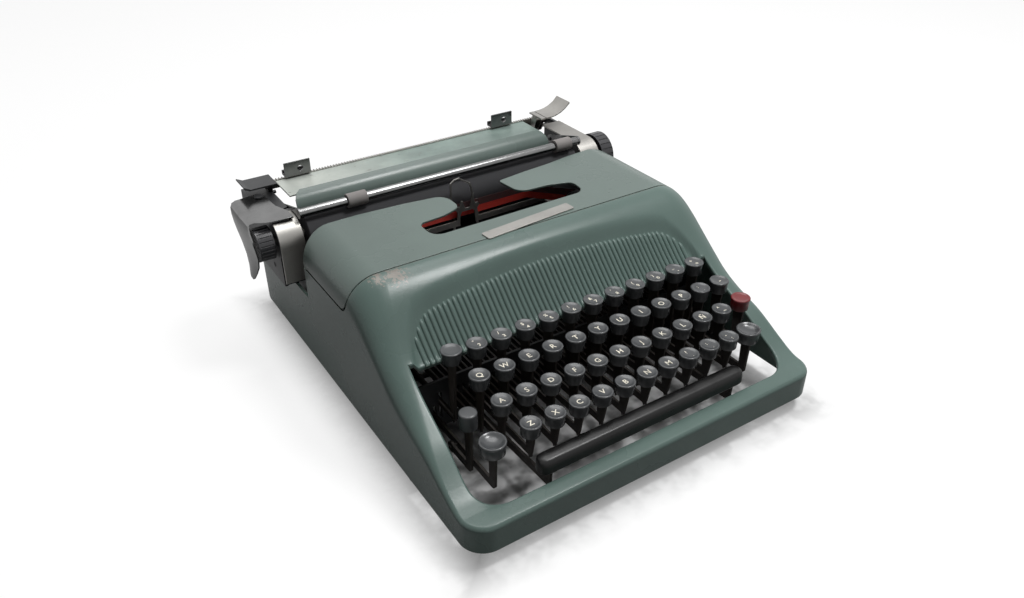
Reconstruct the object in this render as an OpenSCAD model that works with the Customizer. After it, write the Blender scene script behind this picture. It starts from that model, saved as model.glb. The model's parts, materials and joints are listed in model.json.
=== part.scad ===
// Portable manual typewriter: cast body, lift-off cover, four-bank keyboard,
// front-strike type basket and a sliding carriage with a rubber platen.
// Origin on the table under the middle of the whole machine, X right, Y to the rear, Z up.

/* [Body] */
// Width of the body over its side walls
body_w = 294; // [288:1:304]
// Depth of the body from front bar to rear wall
body_d = 360; // [352:1:372]
// Height of the body's lower edge above the table
body_lift = 12; // [9:0.5:14]
// Height of the front bar's top face
bar_top_z = 31; // [28:0.5:34]
// Height of the cover's flat top
cover_top_z = 121; // [119:0.5:124]
// Height of the side walls beneath the carriage
rear_wall_z = 69; // [64:0.5:70]
// Wall thickness of the cast body
shell_wall = 3; // [2.4:0.1:3.6]
// Wall thickness of the sheet cover
cover_wall = 2; // [1.4:0.1:2.6]
// Gap between the body and the cover along the seam
seam_gap = 0.6; // [0.3:0.1:1]
// Pitch of the upright ribs on the front
rib_pitch = 4; // [3.6:0.1:5]
// Radius of one rib
rib_r = 1.5; // [1.2:0.1:1.7]
// Radius of a rubber foot
foot_r = 11; // [9:0.5:12]

/* [Keyboard] */
// Sideways pitch of the keys
key_pitch = 19.05; // [18.8:0.05:19.4]
// Radius of a key top
cap_r = 7.3; // [6.5:0.1:7.6]
// Height of a key top's round body
cap_h = 10; // [8:0.5:11]
// Height of the top bank's key tops above the table
bank_1_z = 90; // [88:0.5:92]
// Drop from one bank to the next
bank_drop = 9.8; // [9:0.1:10.4]
// Distance from one bank to the next, front to rear
bank_step = 18.7; // [18.2:0.1:19.2]
// Thickness of a key lever
lever_t = 1.6; // [1.2:0.1:1.8]
// Height of a key lever's bar
lever_h = 6; // [5:0.5:7]
// Radius of the key levers' pivot rod
fulcrum_r = 2.5; // [2:0.1:3]
// Length of the space bar
space_bar_l = 174; // [160:1:180]

/* [Type basket] */
// Length of a type bar from its pivot to its type face
type_bar_l = 50; // [48:0.5:51]
// Radius of the arc on which the type bars pivot
segment_r = 30; // [28:0.5:31]
// Thickness of a type bar
type_bar_t = 0.9; // [0.7:0.1:1]
// Radius of a ribbon spool's flange
spool_r = 22; // [18:0.5:24]

/* [Carriage] */
// Sideways place of the carriage at rest
carriage_x = -8; // [-20:1:10]
// Length of the platen's rubber
platen_l = 248; // [244:1:250]
// Radius of the platen's rubber
platen_r = 17; // [15.5:0.1:17.2]
// Height of the platen's axis
platen_z = 104; // [103:0.5:105]
// Radius of the platen's shaft
shaft_r = 4; // [3:0.1:5]
// Radius of the right knob
knob_right_r = 18; // [15:0.5:20]
// Radius of the left knob
knob_left_r = 13; // [11:0.5:15]
// Radius of the paper bail's rod
bail_r = 3.5; // [3:0.1:4]

/* [Hidden] */

$fn = 32;
gap = 0.3;                       // clearance between parts that move past each other
run_gap = 0.05;                  // radial clearance of a running fit
e = 0.01;

// Body
half_w = body_w / 2;
front_y = -body_d / 2;
rear_y = body_d / 2;
roll_r = 6;                      // rounding of the front bar's top edge
corner_r = 14;                   // rounding of the body's upright corners
bar_d = 13;                      // depth of the front bar
seam_y = -19;                    // front edge of the cover
seam_z = 95.5;                   // height of the cover's side seam
cover_rear_y = 57;               // rear edge of the cover's sides
cover_back_y = 73;               // farthest reach of the cover's rear edge
well_rear_y = -71;               // foot of the ribbed front
well_half_front = 131.5;
well_half_rear = 127;
well_corner_r = 22;
rib_end_x = 112;
rib_top_y = -52;
panel_depth = 4;                 // the ribbed panel lies this far below the hood
panel_top_y = -38;
panel_edge_x = 108;
panel_blend = 13;
foot_x = 132;
foot_y = [-90, rear_y - 30];

// Shoulder of the body: [y, z, slope], joined by smooth cubics
shoulder = [[front_y + 9, bar_top_z, 0.1], [-147, bar_top_z + 13, 0.5],
    [-115, bar_top_z + 25.5, 0.42], [-75, bar_top_z + 47.5, 0.75],
    [-45, cover_top_z - 15, 0.98], [seam_y, cover_top_z, 0]];

function cubic(a, b, y) = let (h = b[0] - a[0], t = (y - a[0]) / h)
    a[1] * (2*t*t*t - 3*t*t + 1) + a[2] * h * (t*t*t - 2*t*t + t)
    + b[1] * (3*t*t - 2*t*t*t) + b[2] * h * (t*t*t - t*t);
function span_of(y, i = 0) = (i >= len(shoulder) - 2 || y < shoulder[i + 1][0]) ? i : span_of(y, i + 1);
function top_z(y) = y >= seam_y ? cover_top_z
    : y <= front_y + roll_r ? bar_top_z - roll_r
        + sqrt(max(0, pow(roll_r, 2) - pow(front_y + roll_r - y, 2)))
    : y <= shoulder[0][0] ? bar_top_z
    : let (i = span_of(y)) cubic(shoulder[i], shoulder[i + 1], y);
function blend(a, b, t) = a + (b - a) * max(0, min(1, t)) * max(0, min(1, t)) * (3 - 2 * max(0, min(1, t)));
function crown_x(y) = blend(7, 26, (y + 130) / 90);
function crown_z(y) = min(blend(7, 22, (y + 130) / 90), top_z(y) - body_lift - 4);
function panel_arch(x) = panel_top_y - 9 * (1 - sqrt(max(0, 1 - pow(min(1, max(0, abs(x) - 84) / 34), 2))));
function panel_drop(x, y) = panel_depth * blend(0, 1, (panel_arch(x) - y) / panel_blend)
    * (1 - blend(0, 1, (abs(x) - panel_edge_x) / panel_blend));
function half_width(y) = let (q = max(0, front_y + corner_r - y, y - rear_y + corner_r))
    half_w - corner_r + sqrt(max(0, pow(corner_r, 2) - q * q));

// Cross-section of the body at y, inset by the wall w
crown_steps = 6;
panel_columns = [panel_edge_x + panel_blend, panel_edge_x + 8, panel_edge_x + 4, panel_edge_x, 90, 45, 0];
function body_ring(y, w, low) =
    let (x = half_width(y) - w, z = top_z(y) - w, cx = crown_x(y) - w / 2, cz = crown_z(y) - w / 2,
        arc = [for (i = [0 : crown_steps]) let (a = 90 * i / crown_steps)
            [x - cx + cx * cos(a), y, z - cz + cz * sin(a)]],
        inner = [for (c = panel_columns) let (px = min(c, x - cx - 1)) [px, y, z - panel_drop(c, y)]],
        right = concat(arc, inner), n = len(right))
    concat([[x, y, low]], right, [for (i = [n - 2 : -1 : 0]) [-right[i][0], y, right[i][2]]], [[-x, y, low]]);

// Stations along Y: close together where the form bends
function stations(w) = concat(
    [for (i = [0 : 5]) front_y + w + (corner_r - w) * (1 - cos(18 * i))],
    [for (i = [1 : 9]) front_y + corner_r + (well_rear_y - front_y - corner_r) * i / 9],
    [for (i = [1 : 14]) well_rear_y + (seam_y - well_rear_y) * i / 14],
    [for (i = [5 : -1 : 0]) rear_y - w - (corner_r - w) * (1 - cos(18 * i))]);

// Loft through the cross-sections, from front to rear
module body_form(w, low) {
    ys = stations(w);
    rings = [for (y = ys) body_ring(y, w, low)];
    n = len(rings[0]);
    last = len(rings) - 1;
    polyhedron(points = [for (ring = rings) each ring],
        faces = concat([[for (k = [n - 1 : -1 : 0]) k]], [[for (k = [0 : n - 1]) last * n + k]],
            [for (i = [0 : last - 1], k = [0 : n - 1])
                [i * n + k, i * n + (k + 1) % n, (i + 1) * n + (k + 1) % n, (i + 1) * n + k]]));
}

module sheet_x(x, t) translate([x, 0, 0]) rotate([90, 0, 90]) linear_extrude(t) children();
module rod_x(x, l, y, z, r) translate([x, y, z]) rotate([0, 90, 0]) cylinder(h = l, r = r);
module pin_z(x, y, z, l, r) translate([x, y, z]) cylinder(h = l, r = r);
module bar_2d(a, b, r) {
    d = b - a;
    l = norm(d);
    translate(a) circle(r);
    translate(b) circle(r);
    translate(a) rotate(atan2(d[1], d[0])) translate([0, -r]) square([l, 2 * r]);
}

// ---------------------------------------------------------------- casing
module well_outline() offset(well_corner_r) offset(-well_corner_r)
    polygon([[-well_half_front, front_y + bar_d], [well_half_front, front_y + bar_d],
        [well_half_rear, well_rear_y + 40], [-well_half_rear, well_rear_y + 40]]);

// Region of the side view that belongs to the cover
module cover_side(g) polygon(concat([[seam_y + g, cover_top_z + 20]],
    [for (i = [0 : 6]) [seam_y + 10 + g - 10 * cos(15 * i), seam_z + 10 + g - 10 * sin(15 * i)]],
    [[cover_rear_y + 80, seam_z + g], [cover_rear_y + 80, cover_top_z + 20]]));

function rib_top(x) = rib_top_y - 11 * (1 - sqrt(max(0, 1 - pow(max(0, abs(x) - 90) / 24, 2))));

module ribs() {
    n = floor(rib_end_x / rib_pitch);
    for (i = [-n : n]) {
        x = i * rib_pitch;
        low = well_rear_y + rib_r / 2;
        high = rib_top(x);
        hull() {
            translate([x, low, top_z(low) - panel_drop(x, low) - 0.2]) sphere(rib_r, $fn = 8);
            translate([x, high, top_z(high) - panel_drop(x, high) - 0.2]) sphere(rib_r, $fn = 8);
        }
    }
}

module main_shell() color([0.40, 0.48, 0.44]) {
    difference() {
        body_form(0, body_lift);
        body_form(shell_wall, -1);
        intersection() {
            translate([0, 0, -1]) linear_extrude(cover_top_z + 20) well_outline();
            translate([-half_w, front_y, -2]) cube([body_w, well_rear_y - front_y, cover_top_z + 30]);
        }
        sheet_x(-half_w - 5, body_w + 10) cover_side(0);
        translate([-half_w - 5, cover_rear_y, rear_wall_z]) cube([body_w + 10, body_d, 100]);
    }
    ribs();
}

slot_front_y = 5.5;
slot_outline = [[-66, slot_front_y], [-66, 28.5], [-44, 30], [-26.5, 36.5], [-27, 90], [22.5, 90], [25.5, 33],
    [52, 31], [71, 25], [69.5, slot_front_y + 1]];
cover_back = [[-150, cover_rear_y], [-140, 62.5], [-121, 66], [-97, 66.5], [-60, 64], [-27, 61], [22.5, 59.5],
    [50, 62.8], [75, 65], [98, 68.8], [121, cover_back_y - 2], [140, 63.5], [150, cover_rear_y],
    [150, -40], [-150, -40]];

module top_cover() color([0.42, 0.50, 0.46]) intersection() {
    difference() {
        body_form(0, body_lift);
        body_form(cover_wall, 0);
    }
    sheet_x(-half_w - 5, body_w + 10) cover_side(seam_gap);
    linear_extrude(200) offset(6) offset(-12) offset(6) difference() {
        polygon(cover_back);
        polygon(slot_outline);
    }
}

module badge_plate() color([0.72, 0.73, 0.72])
    translate([4, -12.5, cover_top_z]) rotate([0, 0, 4.5]) translate([-40, -5, 0])
        linear_extrude(1) offset(1.5) translate([1.5, 1.5]) square([77, 7]);

// ---------------------------------------------------------------- frame
chassis_x = 123;                 // inner face of the frame's side plates
chassis_t = 2;
chassis_out = chassis_x + chassis_t;
chassis_front = -62;
chassis_rear = rear_y - 20;
flange_z = body_lift;
plate_z = 87.5;                  // height of the ribbon plates
plate_rear_y = 66;
fulcrum_y = 45;
lever_z = 36;                    // middle of the key levers' bars
shift_rod = [20, 24];            // [y, z] of the shift frame's rod
space_rod = [-10, 15.3];         // [y, z] of the space bar's rod
rod_r = 2.2;
rail_y = [96, 138];
rail_w = 8;
rail_h = 7;
rail_top = rear_wall_z + 1;
basket_bar_y = 40;
guide_pin = [50, 68, 58];        // where a guide pin passes through its ear
guide_pin_r = 2;

module side_plate() sheet_x(chassis_x, chassis_t) difference() {
    polygon([[chassis_front, flange_z], [chassis_rear, flange_z], [chassis_rear, rail_top - rail_h],
        [plate_rear_y + 6, rail_top - rail_h], [plate_rear_y, plate_z], [-30, plate_z], [-48, 60],
            [chassis_front, 56]]);
    translate([fulcrum_y, lever_z]) circle(fulcrum_r + run_gap);
    translate(shift_rod) circle(rod_r + run_gap);
    translate(space_rod) circle(rod_r + run_gap);
    for (y = [-30, 5, 90, 130]) translate([y, 52]) circle(8);
}

// Axis of a guide pin, from the frame's cross bar up along the line of the type at strike
module along_pin() translate([guide_pin[0], guide_pin[1] - (guide_pin[2] - flange_z - 1) * tan(strike_angle),
    flange_z + 1]) rotate([-strike_angle, 0, 0]) children();

module chassis() color([0.23, 0.24, 0.25]) {
    flange_w = half_w - shell_wall - gap - chassis_out;
    for (s = [0, 1]) mirror([s, 0, 0]) {
        side_plate();
        translate([chassis_out, chassis_front, flange_z]) cube([flange_w, chassis_rear - chassis_front, 2]);
        translate([foot_x - 12, foot_y[0] - 12, flange_z])
            cube([half_w - shell_wall - gap - foot_x + 12, chassis_front - foot_y[0] + 12, 2]);
        along_pin() cylinder(h = 62, r = guide_pin_r);
    }
    translate([-chassis_x, chassis_rear - 2, flange_z])
        cube([2 * chassis_x, 2, rail_top - rail_h - flange_z]);
    translate([-chassis_x, basket_bar_y, flange_z]) cube([2 * chassis_x, 16, 2]);
}

module feet() color([0.25, 0.25, 0.25]) for (x = [-foot_x, foot_x], y = foot_y)
    translate([x, y, 0]) rotate_extrude() polygon([[0, 0], [foot_r - 1.5, 0], [foot_r, 1.5],
        [foot_r - 2, flange_z], [0, flange_z]]);

module carriage_rails() color([0.7, 0.71, 0.72]) for (y = rail_y)
    translate([-chassis_out, y - rail_w / 2, rail_top - rail_h]) cube([2 * chassis_out, rail_w, rail_h]);

// ---------------------------------------------------------------- type basket
platen_y = cover_back_y + 3 + platen_r;
strike_angle = 25;               // height of the printing point round the platen
strike_r = platen_r + 0.5;
print_point = [platen_y - strike_r * cos(strike_angle), platen_z + strike_r * sin(strike_angle)];
rise = sqrt(type_bar_l * type_bar_l - segment_r * segment_r);
basket_tilt = 90 - strike_angle - atan2(rise, segment_r);
basket = [0, print_point[0] + rise * sin(basket_tilt), print_point[1] - rise * cos(basket_tilt)];
bars_side = 21;                  // type bars on each side of the middle one
fan_step = 2.9;
bar_hub = 3;
slug_h = 9;
slug_d = 5;
slug_w = 3;

module in_basket() translate(basket) rotate([basket_tilt, 0, 0]) children();

// Slotted arc that holds the type bars' hubs, with an ear on each side for a guide pin
module type_segment() color([0.35, 0.36, 0.37]) {
    in_basket() difference() {
        rotate([0, 0, 180 + 24]) rotate_extrude(angle = 132)
            translate([segment_r - 4.5, -7]) square([9.5, 9]);
        for (i = [-bars_side : bars_side]) rotate([0, 0, fan_step * i])
            translate([-type_bar_t / 2 - 0.1, -segment_r - 6, -4]) cube([type_bar_t + 0.2, 12, 10]);
    }
    for (s = [0, 1]) mirror([s, 0, 0]) difference() {
        union() {
            translate([25, guide_pin[1] - 6, guide_pin[2] - 2]) cube([guide_pin[0] - 19, 12, 4]);
            translate([25, guide_pin[1] - 2, guide_pin[2] - 2]) cube([6, 8, 8]);
        }
        along_pin() translate([0, 0, 30]) cylinder(h = 50, r = guide_pin_r + run_gap);
    }
}

module one_type_bar() {
    l = type_bar_l;
    translate([-type_bar_t / 2, -segment_r, 0]) rotate([90, 0, -90]) mirror([0, 0, 1])
        linear_extrude(type_bar_t) union() {
            circle(bar_hub);
            polygon([[0, 2.6], [-1, -2.6], [l - 3, -slug_d], [l - 3, -slug_d + 3]]);
        }
    translate([-slug_w / 2, -segment_r - l - slug_h / 2, -slug_d]) cube([slug_w, slug_h, slug_d]);
}

module type_bars() color([0.55, 0.56, 0.57]) in_basket()
    for (i = [-bars_side : bars_side]) if (i != 0) rotate([0, 0, fan_step * i]) one_type_bar();

module type_bar_y() color([0.6, 0.61, 0.62]) in_basket() one_type_bar();

guide_y = 71;
guide_t = 1.2;
guide_foot_z = plate_z - 4;
guide_bar_z = guide_foot_z + 12;   // underside of the guide's cross bar
wire_w = 1.2;
wire = [[-10.5, 15.5], [-15, 26], [-14.5, 39], [-11, 41.5], [-7, 42], [2.6, 35.5], [4.2, 31], [5.2, 24]];

// Flat wire between two points, square at its ends
module wire_2d(a, b) translate(a) rotate(atan2(b[1] - a[1], b[0] - a[0])) translate([-wire_w / 2, -wire_w / 2])
    square([norm(b - a) + wire_w, wire_w]);

// Upright plate with two prongs that steer the type bar, on a bridge between the ribbon plates
module type_guide() color([0.62, 0.63, 0.64]) {
    translate([0, guide_y + guide_t, 0]) rotate([90, 0, 0]) linear_extrude(guide_t) {
        for (s = [0, 1]) mirror([s, 0]) polygon([[11, guide_foot_z], [9.2, guide_bar_z], [11.5, guide_bar_z + 3],
            [10, guide_bar_z + 5], [7.5, guide_bar_z + 5], [5.8, guide_bar_z + 9.5], [4.4, guide_bar_z + 9.5],
            [2.2, guide_bar_z + 2.5], [0, guide_bar_z + 2.5], [0, guide_bar_z], [5, guide_bar_z],
            [6.6, guide_bar_z - 2], [7.4, guide_foot_z]]);
        polygon([[3.6, guide_bar_z + 8], [6.6, guide_bar_z + 8], [6.2, guide_bar_z + 14], [4.6, guide_bar_z + 14]]);
        translate([0, guide_foot_z]) for (i = [1 : len(wire) - 1]) wire_2d(wire[i - 1], wire[i]);
    }
    for (s = [0, 1]) mirror([s, 0, 0]) {
        translate([7.6, guide_y, guide_foot_z]) cube([spool_x - 8 - 7.6, guide_t, 5]);
        translate([spool_x - 14, guide_y - 45, plate_z - 1.5]) cube([6, 45 + guide_t, 1.5]);
    }
}

spool_x = 88;
spool_y = 19;
spool_z = plate_z + 1.5 + gap;
spool_h = 14;
spool_pin_r = 2.5;

module ribbon_plates() color([0.3, 0.31, 0.32]) for (s = [0, 1]) mirror([s, 0, 0]) {
    translate([spool_x - 14, 2, plate_z]) cube([chassis_out - spool_x + 14, 34, 1.5]);
    pin_z(spool_x, spool_y, plate_z + 1.5, spool_h + 3, spool_pin_r);
}

module ribbon_spool() difference() {
    union() {
        for (z = [0, spool_h - 1]) pin_z(0, 0, z, 1, spool_r);
        pin_z(0, 0, 0, spool_h, spool_r * 0.75);
    }
    pin_z(0, 0, -1, spool_h + 2, spool_pin_r + run_gap);
}

module ribbon_spool_left() color([0.15, 0.15, 0.16]) translate([-spool_x, spool_y, spool_z]) ribbon_spool();
module ribbon_spool_right() color([0.15, 0.15, 0.16]) translate([spool_x, spool_y, spool_z]) ribbon_spool();

ribbon_y = guide_y + guide_t + 1.3;
ribbon_t = 0.3;
ribbon_h = 12;

// From each spool the ribbon runs back round a corner and across in front of the platen
module ribbon() color([0.55, 0.12, 0.08]) translate([0, 0, spool_z + 1]) linear_extrude(ribbon_h)
    for (s = [0, 1]) mirror([s, 0]) polygon([[0, ribbon_y], [0, ribbon_y + ribbon_t],
        [60, ribbon_y + ribbon_t], [spool_x + 9, spool_y + spool_r * 0.75], [spool_x + 8, spool_y + spool_r * 0.75],
        [60 - ribbon_t, ribbon_y]]);

module ribbon_vibrator() color([0.66, 0.67, 0.68]) {
    for (s = [-1, 1]) translate([s * 11 - 1, ribbon_y + 2 * ribbon_t, 72]) cube([2, 1, 30]);
    translate([-12, ribbon_y + 2 * ribbon_t, 70]) cube([24, 1, 4]);
}

// ---------------------------------------------------------------- keyboard
bank_y = [for (i = [0 : 3]) -85 - bank_step * i];
bank_z = [for (i = [0 : 3]) bank_1_z - bank_drop * i];
lever_pitch = key_pitch / 4;
bank_first = [-22, -20, -19, -17];      // place of each bank's first lever, in lever pitches
bank_n = [12, 12, 12, 10];
comb_y = -66;
y_key = 5;                       // the key with its own lever and type bar, in bank 2
function key_x(b, k) = (bank_first[b] + 4 * k) * lever_pitch;

module key_cap(x, y, z) translate([x, y, z - cap_h]) rotate_extrude()
    polygon([[0, 0], [cap_r - 1.6, 0], [cap_r - 0.8, 0.8], [cap_r - 0.5, cap_h - 1.9], [cap_r, cap_h - 1.1],
        [cap_r, cap_h - 0.4], [cap_r - 0.5, cap_h], [cap_r - 1.1, cap_h], [cap_r - 3, cap_h - 0.5],
        [0, cap_h - 0.8]]);

module key_lever(x, y, z) sheet_x(x - lever_t / 2, lever_t) difference() {
    union() {
        translate([y - 2, lever_z - lever_h / 2]) square([fulcrum_y - y + 2, lever_h]);
        translate([fulcrum_y, lever_z]) circle(fulcrum_r + 3);
        polygon([[y - 5, z - cap_h], [y + 5, z - cap_h], [y + 3, lever_z], [y, lever_z - lever_h / 2 - 2],
            [y - 2.5, lever_z]]);
    }
    translate([fulcrum_y, lever_z]) circle(fulcrum_r + run_gap);
}

function in_bank(b, k) = !(b == 1 && k == y_key) && !(b == 0 && k == 0) && !(b == 2 && k == 11);

module caps(b) color([0.13, 0.14, 0.15]) for (k = [0 : bank_n[b] - 1])
    if (in_bank(b, k)) key_cap(key_x(b, k), bank_y[b], bank_z[b]);
module levers(b) color([0.2, 0.2, 0.21]) for (k = [0 : bank_n[b] - 1])
    if (in_bank(b, k)) key_lever(key_x(b, k), bank_y[b], bank_z[b]);

module key_caps_bank_1() caps(0);
module key_caps_bank_2() caps(1);
module key_caps_bank_3() caps(2);
module key_caps_bank_4() caps(3);
module key_levers_bank_1() levers(0);
module key_levers_bank_2() levers(1);
module key_levers_bank_3() levers(2);
module key_levers_bank_4() levers(3);
module key_cap_y() color([0.13, 0.14, 0.15]) key_cap(key_x(1, y_key), bank_y[1], bank_z[1]);
module key_lever_y() color([0.2, 0.2, 0.21]) key_lever(key_x(1, y_key), bank_y[1], bank_z[1]);
module backspace_cap() color([0.13, 0.14, 0.15]) key_cap(key_x(0, 0), bank_y[0], bank_z[0] + 2);
module backspace_lever() color([0.2, 0.2, 0.21]) key_lever(key_x(0, 0), bank_y[0], bank_z[0] + 2);
module tab_cap() color([0.45, 0.04, 0.05]) key_cap(key_x(2, 11), bank_y[2], bank_z[2] + 3);
module tab_lever() color([0.2, 0.2, 0.21]) key_lever(key_x(2, 11), bank_y[2], bank_z[2] + 3);

comb_low = flange_z + 2;

module comb_slot(x, w, low, high) translate([x - w / 2, comb_y - 1, low]) cube([w, 4, high - low]);

module key_comb() color([0.3, 0.31, 0.32]) difference() {
    translate([-chassis_x, comb_y, comb_low]) cube([2 * chassis_x, 2, 40]);
    for (b = [0 : 3], k = [0 : bank_n[b] - 1])
        comb_slot(key_x(b, k), lever_t + 0.8, lever_z - 14, lever_z + 8);
    for (x = [-space_arm_x, space_arm_x]) comb_slot(x, arm_t + 0.8, comb_low - 1, 34);
    for (x = [-shift_x, shift_x]) comb_slot(x, arm_t + 0.8, comb_low - 1, 34);
}

module fulcrum_rod() color([0.65, 0.66, 0.67])
    rod_x(-chassis_out, 2 * chassis_out, fulcrum_y, lever_z, fulcrum_r);

// Shift keys: two wide dished tops on one rocking frame
arm_t = 2;
shift_x = 23 * lever_pitch;
shift_y = -142;
shift_z = 60;
shift_r = 9;
arm_r = 3;

module dished_cap(x, y, z, r) translate([x, y, z - cap_h]) rotate_extrude()
    polygon([[0, 0], [r - 1.5, 0], [r - 0.5, cap_h - 2], [r, cap_h - 0.8], [r - 0.6, cap_h], [r - 1.2, cap_h],
        [r - 3, cap_h - 1.4], [r * 0.4, cap_h - 2.2], [0, cap_h - 2.4]]);

module shift_key_left() color([0.13, 0.14, 0.15]) dished_cap(-shift_x, shift_y, shift_z, shift_r);
module shift_key_right() color([0.13, 0.14, 0.15]) dished_cap(shift_x, shift_y, shift_z, shift_r);

module shift_frame() color([0.2, 0.2, 0.21]) {
    for (x = [-shift_x, shift_x]) sheet_x(x - arm_t / 2, arm_t) {
        polygon([[shift_y - 4, shift_z - cap_h], [shift_y + 4, shift_z - cap_h], [shift_y + 3, shift_rod[1]],
            [shift_y - 3, shift_rod[1]]]);
        bar_2d([shift_y, shift_rod[1]], shift_rod, arm_r);
    }
    rod_x(-chassis_out, 2 * chassis_out, shift_rod[0], shift_rod[1], rod_r);
    rod_x(lock_x - arm_t / 2 - 1, -shift_x - lock_x + arm_t / 2 + 1, lock_pivot[0], lock_pivot[1], lock_pin_r);
}

// Shift lock: a latch key that rocks on a pin of the left shift arm
lock_x = -24 * lever_pitch;
lock_y = -121;
lock_z = 70;
lock_r = 6.2;
lock_h = 12;
lock_pin_r = 1.5;
lock_pivot = [lock_y + 23, shift_rod[1]];

module shift_lock_cap() color([0.13, 0.14, 0.15]) translate([lock_x, lock_y, lock_z - lock_h])
    rotate_extrude() polygon([[0, 0], [lock_r - 0.8, 0], [lock_r, lock_h - 1], [lock_r - 0.6, lock_h],
        [0, lock_h]]);

module shift_lock_lever() color([0.2, 0.2, 0.21]) sheet_x(lock_x - arm_t / 2, arm_t) difference() {
    union() {
        polygon([[lock_y - 4, lock_z - lock_h], [lock_y + 4, lock_z - lock_h], [lock_y + 3, shift_rod[1]],
            [lock_y - 3, shift_rod[1]]]);
        bar_2d([lock_y, shift_rod[1]], lock_pivot, arm_r);
        translate(lock_pivot) circle(lock_pin_r + 2.5);
    }
    translate(lock_pivot) circle(lock_pin_r + run_gap);
}

space_y = -158.5;
space_z = 46;
space_h = 11;
space_r = 6;
space_arm_x = 16.5 * lever_pitch;

module space_bar() color([0.1, 0.1, 0.11]) translate([0, space_y, space_z - space_h])
    linear_extrude(space_h) bar_2d([space_r - space_bar_l / 2, 0], [space_bar_l / 2 - space_r, 0], space_r);

module space_bar_arms() color([0.2, 0.2, 0.21]) {
    for (x = [-space_arm_x, space_arm_x]) sheet_x(x - arm_t / 2, arm_t) {
        bar_2d([space_y, 23], space_rod, arm_r);
        translate(space_rod) circle(arm_r + 0.7);
        polygon([[space_y - 2.4, 23], [space_y + 2.4, 23], [space_y + 3, space_z - space_h],
            [space_y - 3, space_z - space_h]]);
    }
    rod_x(-chassis_out, 2 * chassis_out, space_rod[0], space_rod[1], rod_r);
}

// ---------------------------------------------------------------- carriage
end_x = 148;                     // outer face of the carriage ends, from its middle
end_t = 2.5;
bed_z = rail_top + gap;
bed_t = 2.5;
cover_in = 129;                  // inner edge of the end covers
strip_t = 1.5;
strip_r = platen_r + 0.5;
end_back = platen_y + 66;
top_strip_z = platen_z + strip_r;
feed_r = 6;
feed_y = platen_y + 5;
feed_z = platen_z - sqrt(pow(platen_r + feed_r + gap, 2) - 25);
feed_shaft_r = 2;
bail_y = platen_y - 9;
bail_roller_r = 5.5;
bail_z = platen_z + sqrt(pow(platen_r + bail_roller_r + gap, 2) - 81);
bail_pivot = [platen_y + 31, platen_z + 9];
bail_pin_r = 1.5;
tab_pivot = [end_back - 10, platen_z + 12];

module end_outline() difference() {
    union() {
        translate([platen_y, platen_z]) circle(strip_r - strip_t);
        translate([platen_y - 13, bed_z]) square([end_back - platen_y + 13, platen_z - bed_z - 4]);
        translate([platen_y, bed_z]) square([end_back - platen_y, top_strip_z - strip_t - bed_z]);
    }
    translate([platen_y, platen_z]) circle(shaft_r + run_gap);
    translate([feed_y, feed_z]) circle(feed_shaft_r + run_gap);
}

// Studs on the inner side of a carriage end, at the left end
module end_studs() {
    rod_x(-end_x + end_t, end_x - end_t - bail_arm_x + 1, bail_pivot[0], bail_pivot[1], bail_pin_r);
    rod_x(-end_x + end_t, 22, tab_pivot[0], tab_pivot[1], bail_pin_r);
}

module end_plate() {
    sheet_x(-end_x, end_t) end_outline();
    end_studs();
}
module end_plate_left() color([0.24, 0.25, 0.26]) translate([carriage_x, 0, 0]) {
    end_plate();
    translate([0, 0, top_strip_z - strip_t]) linear_extrude(strip_t) polygon([[-end_x, top_plate_y],
        [top_edge_x, top_plate_y + 7], [top_edge_x, tab_pivot[0] - 12], [top_edge_x - 3, tab_pivot[0] - 10],
        [top_edge_x - 3, rack_y - gap], [-140, rack_y - gap], [-end_x, rack_y - 10]]);
    pin_z(lever_pivot[0], lever_pivot[1], top_strip_z, sheet + 2 * gap, lever_pin_r);
    pin_z(lever_pivot[0], lever_pivot[1], top_strip_z + sheet + 2 * gap, 1.2, lever_pin_r + 1.5);
}
module end_plate_right() color([0.24, 0.25, 0.26]) translate([carriage_x, 0, 0]) mirror([1, 0, 0]) end_plate();

module cover_strip_2d(top_l) {
    difference() {
        translate([platen_y, platen_z]) circle(strip_r);
        translate([platen_y, platen_z]) circle(strip_r - strip_t);
        translate([platen_y, platen_z - 30]) square([40, 60]);
        translate([platen_y - 30, platen_z - 30]) square([60, 30]);
    }
    translate([platen_y - strip_r, bed_z + 4]) square([strip_t, platen_z - bed_z - 4]);
    translate([platen_y, top_strip_z - strip_t]) square([top_l, strip_t]);
}

module end_cover(top_l) sheet_x(-end_x, end_x - cover_in) cover_strip_2d(top_l);
lever_pivot = [-end_x + 5, platen_y + 37];
lever_pin_r = 2;
sheet = 1.5;
top_plate_y = platen_y + 7;      // front edge of the left end's top plate
bail_arm_x = cover_in - sheet - gap;
top_edge_x = -bail_arm_x - sheet - gap;
module end_cover_left() color([0.68, 0.67, 0.65]) translate([carriage_x, 0, 0])
    end_cover(top_plate_y - gap - platen_y);
module end_cover_right() color([0.68, 0.67, 0.65]) translate([carriage_x, 0, 0]) mirror([1, 0, 0]) end_cover(46);

module carriage_bed() color([0.3, 0.31, 0.32]) translate([carriage_x - end_x + end_t, platen_y - 12, bed_z])
    cube([2 * (end_x - end_t), 66, bed_t]);

module platen_roller() color([0.08, 0.08, 0.09]) difference() {
    rod_x(carriage_x - platen_l / 2, platen_l, platen_y, platen_z, platen_r);
    rod_x(carriage_x - platen_l / 2 - 1, platen_l + 2, platen_y, platen_z, shaft_r);
}
knob_l = 12;
knob_gap_right = 3;
knob_gap_left = 2;
module platen_shaft() color([0.7, 0.7, 0.71]) rod_x(carriage_x - end_x - knob_gap_left - knob_l,
    2 * (end_x + knob_l) + knob_gap_left + knob_gap_right, platen_y, platen_z, shaft_r);

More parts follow.
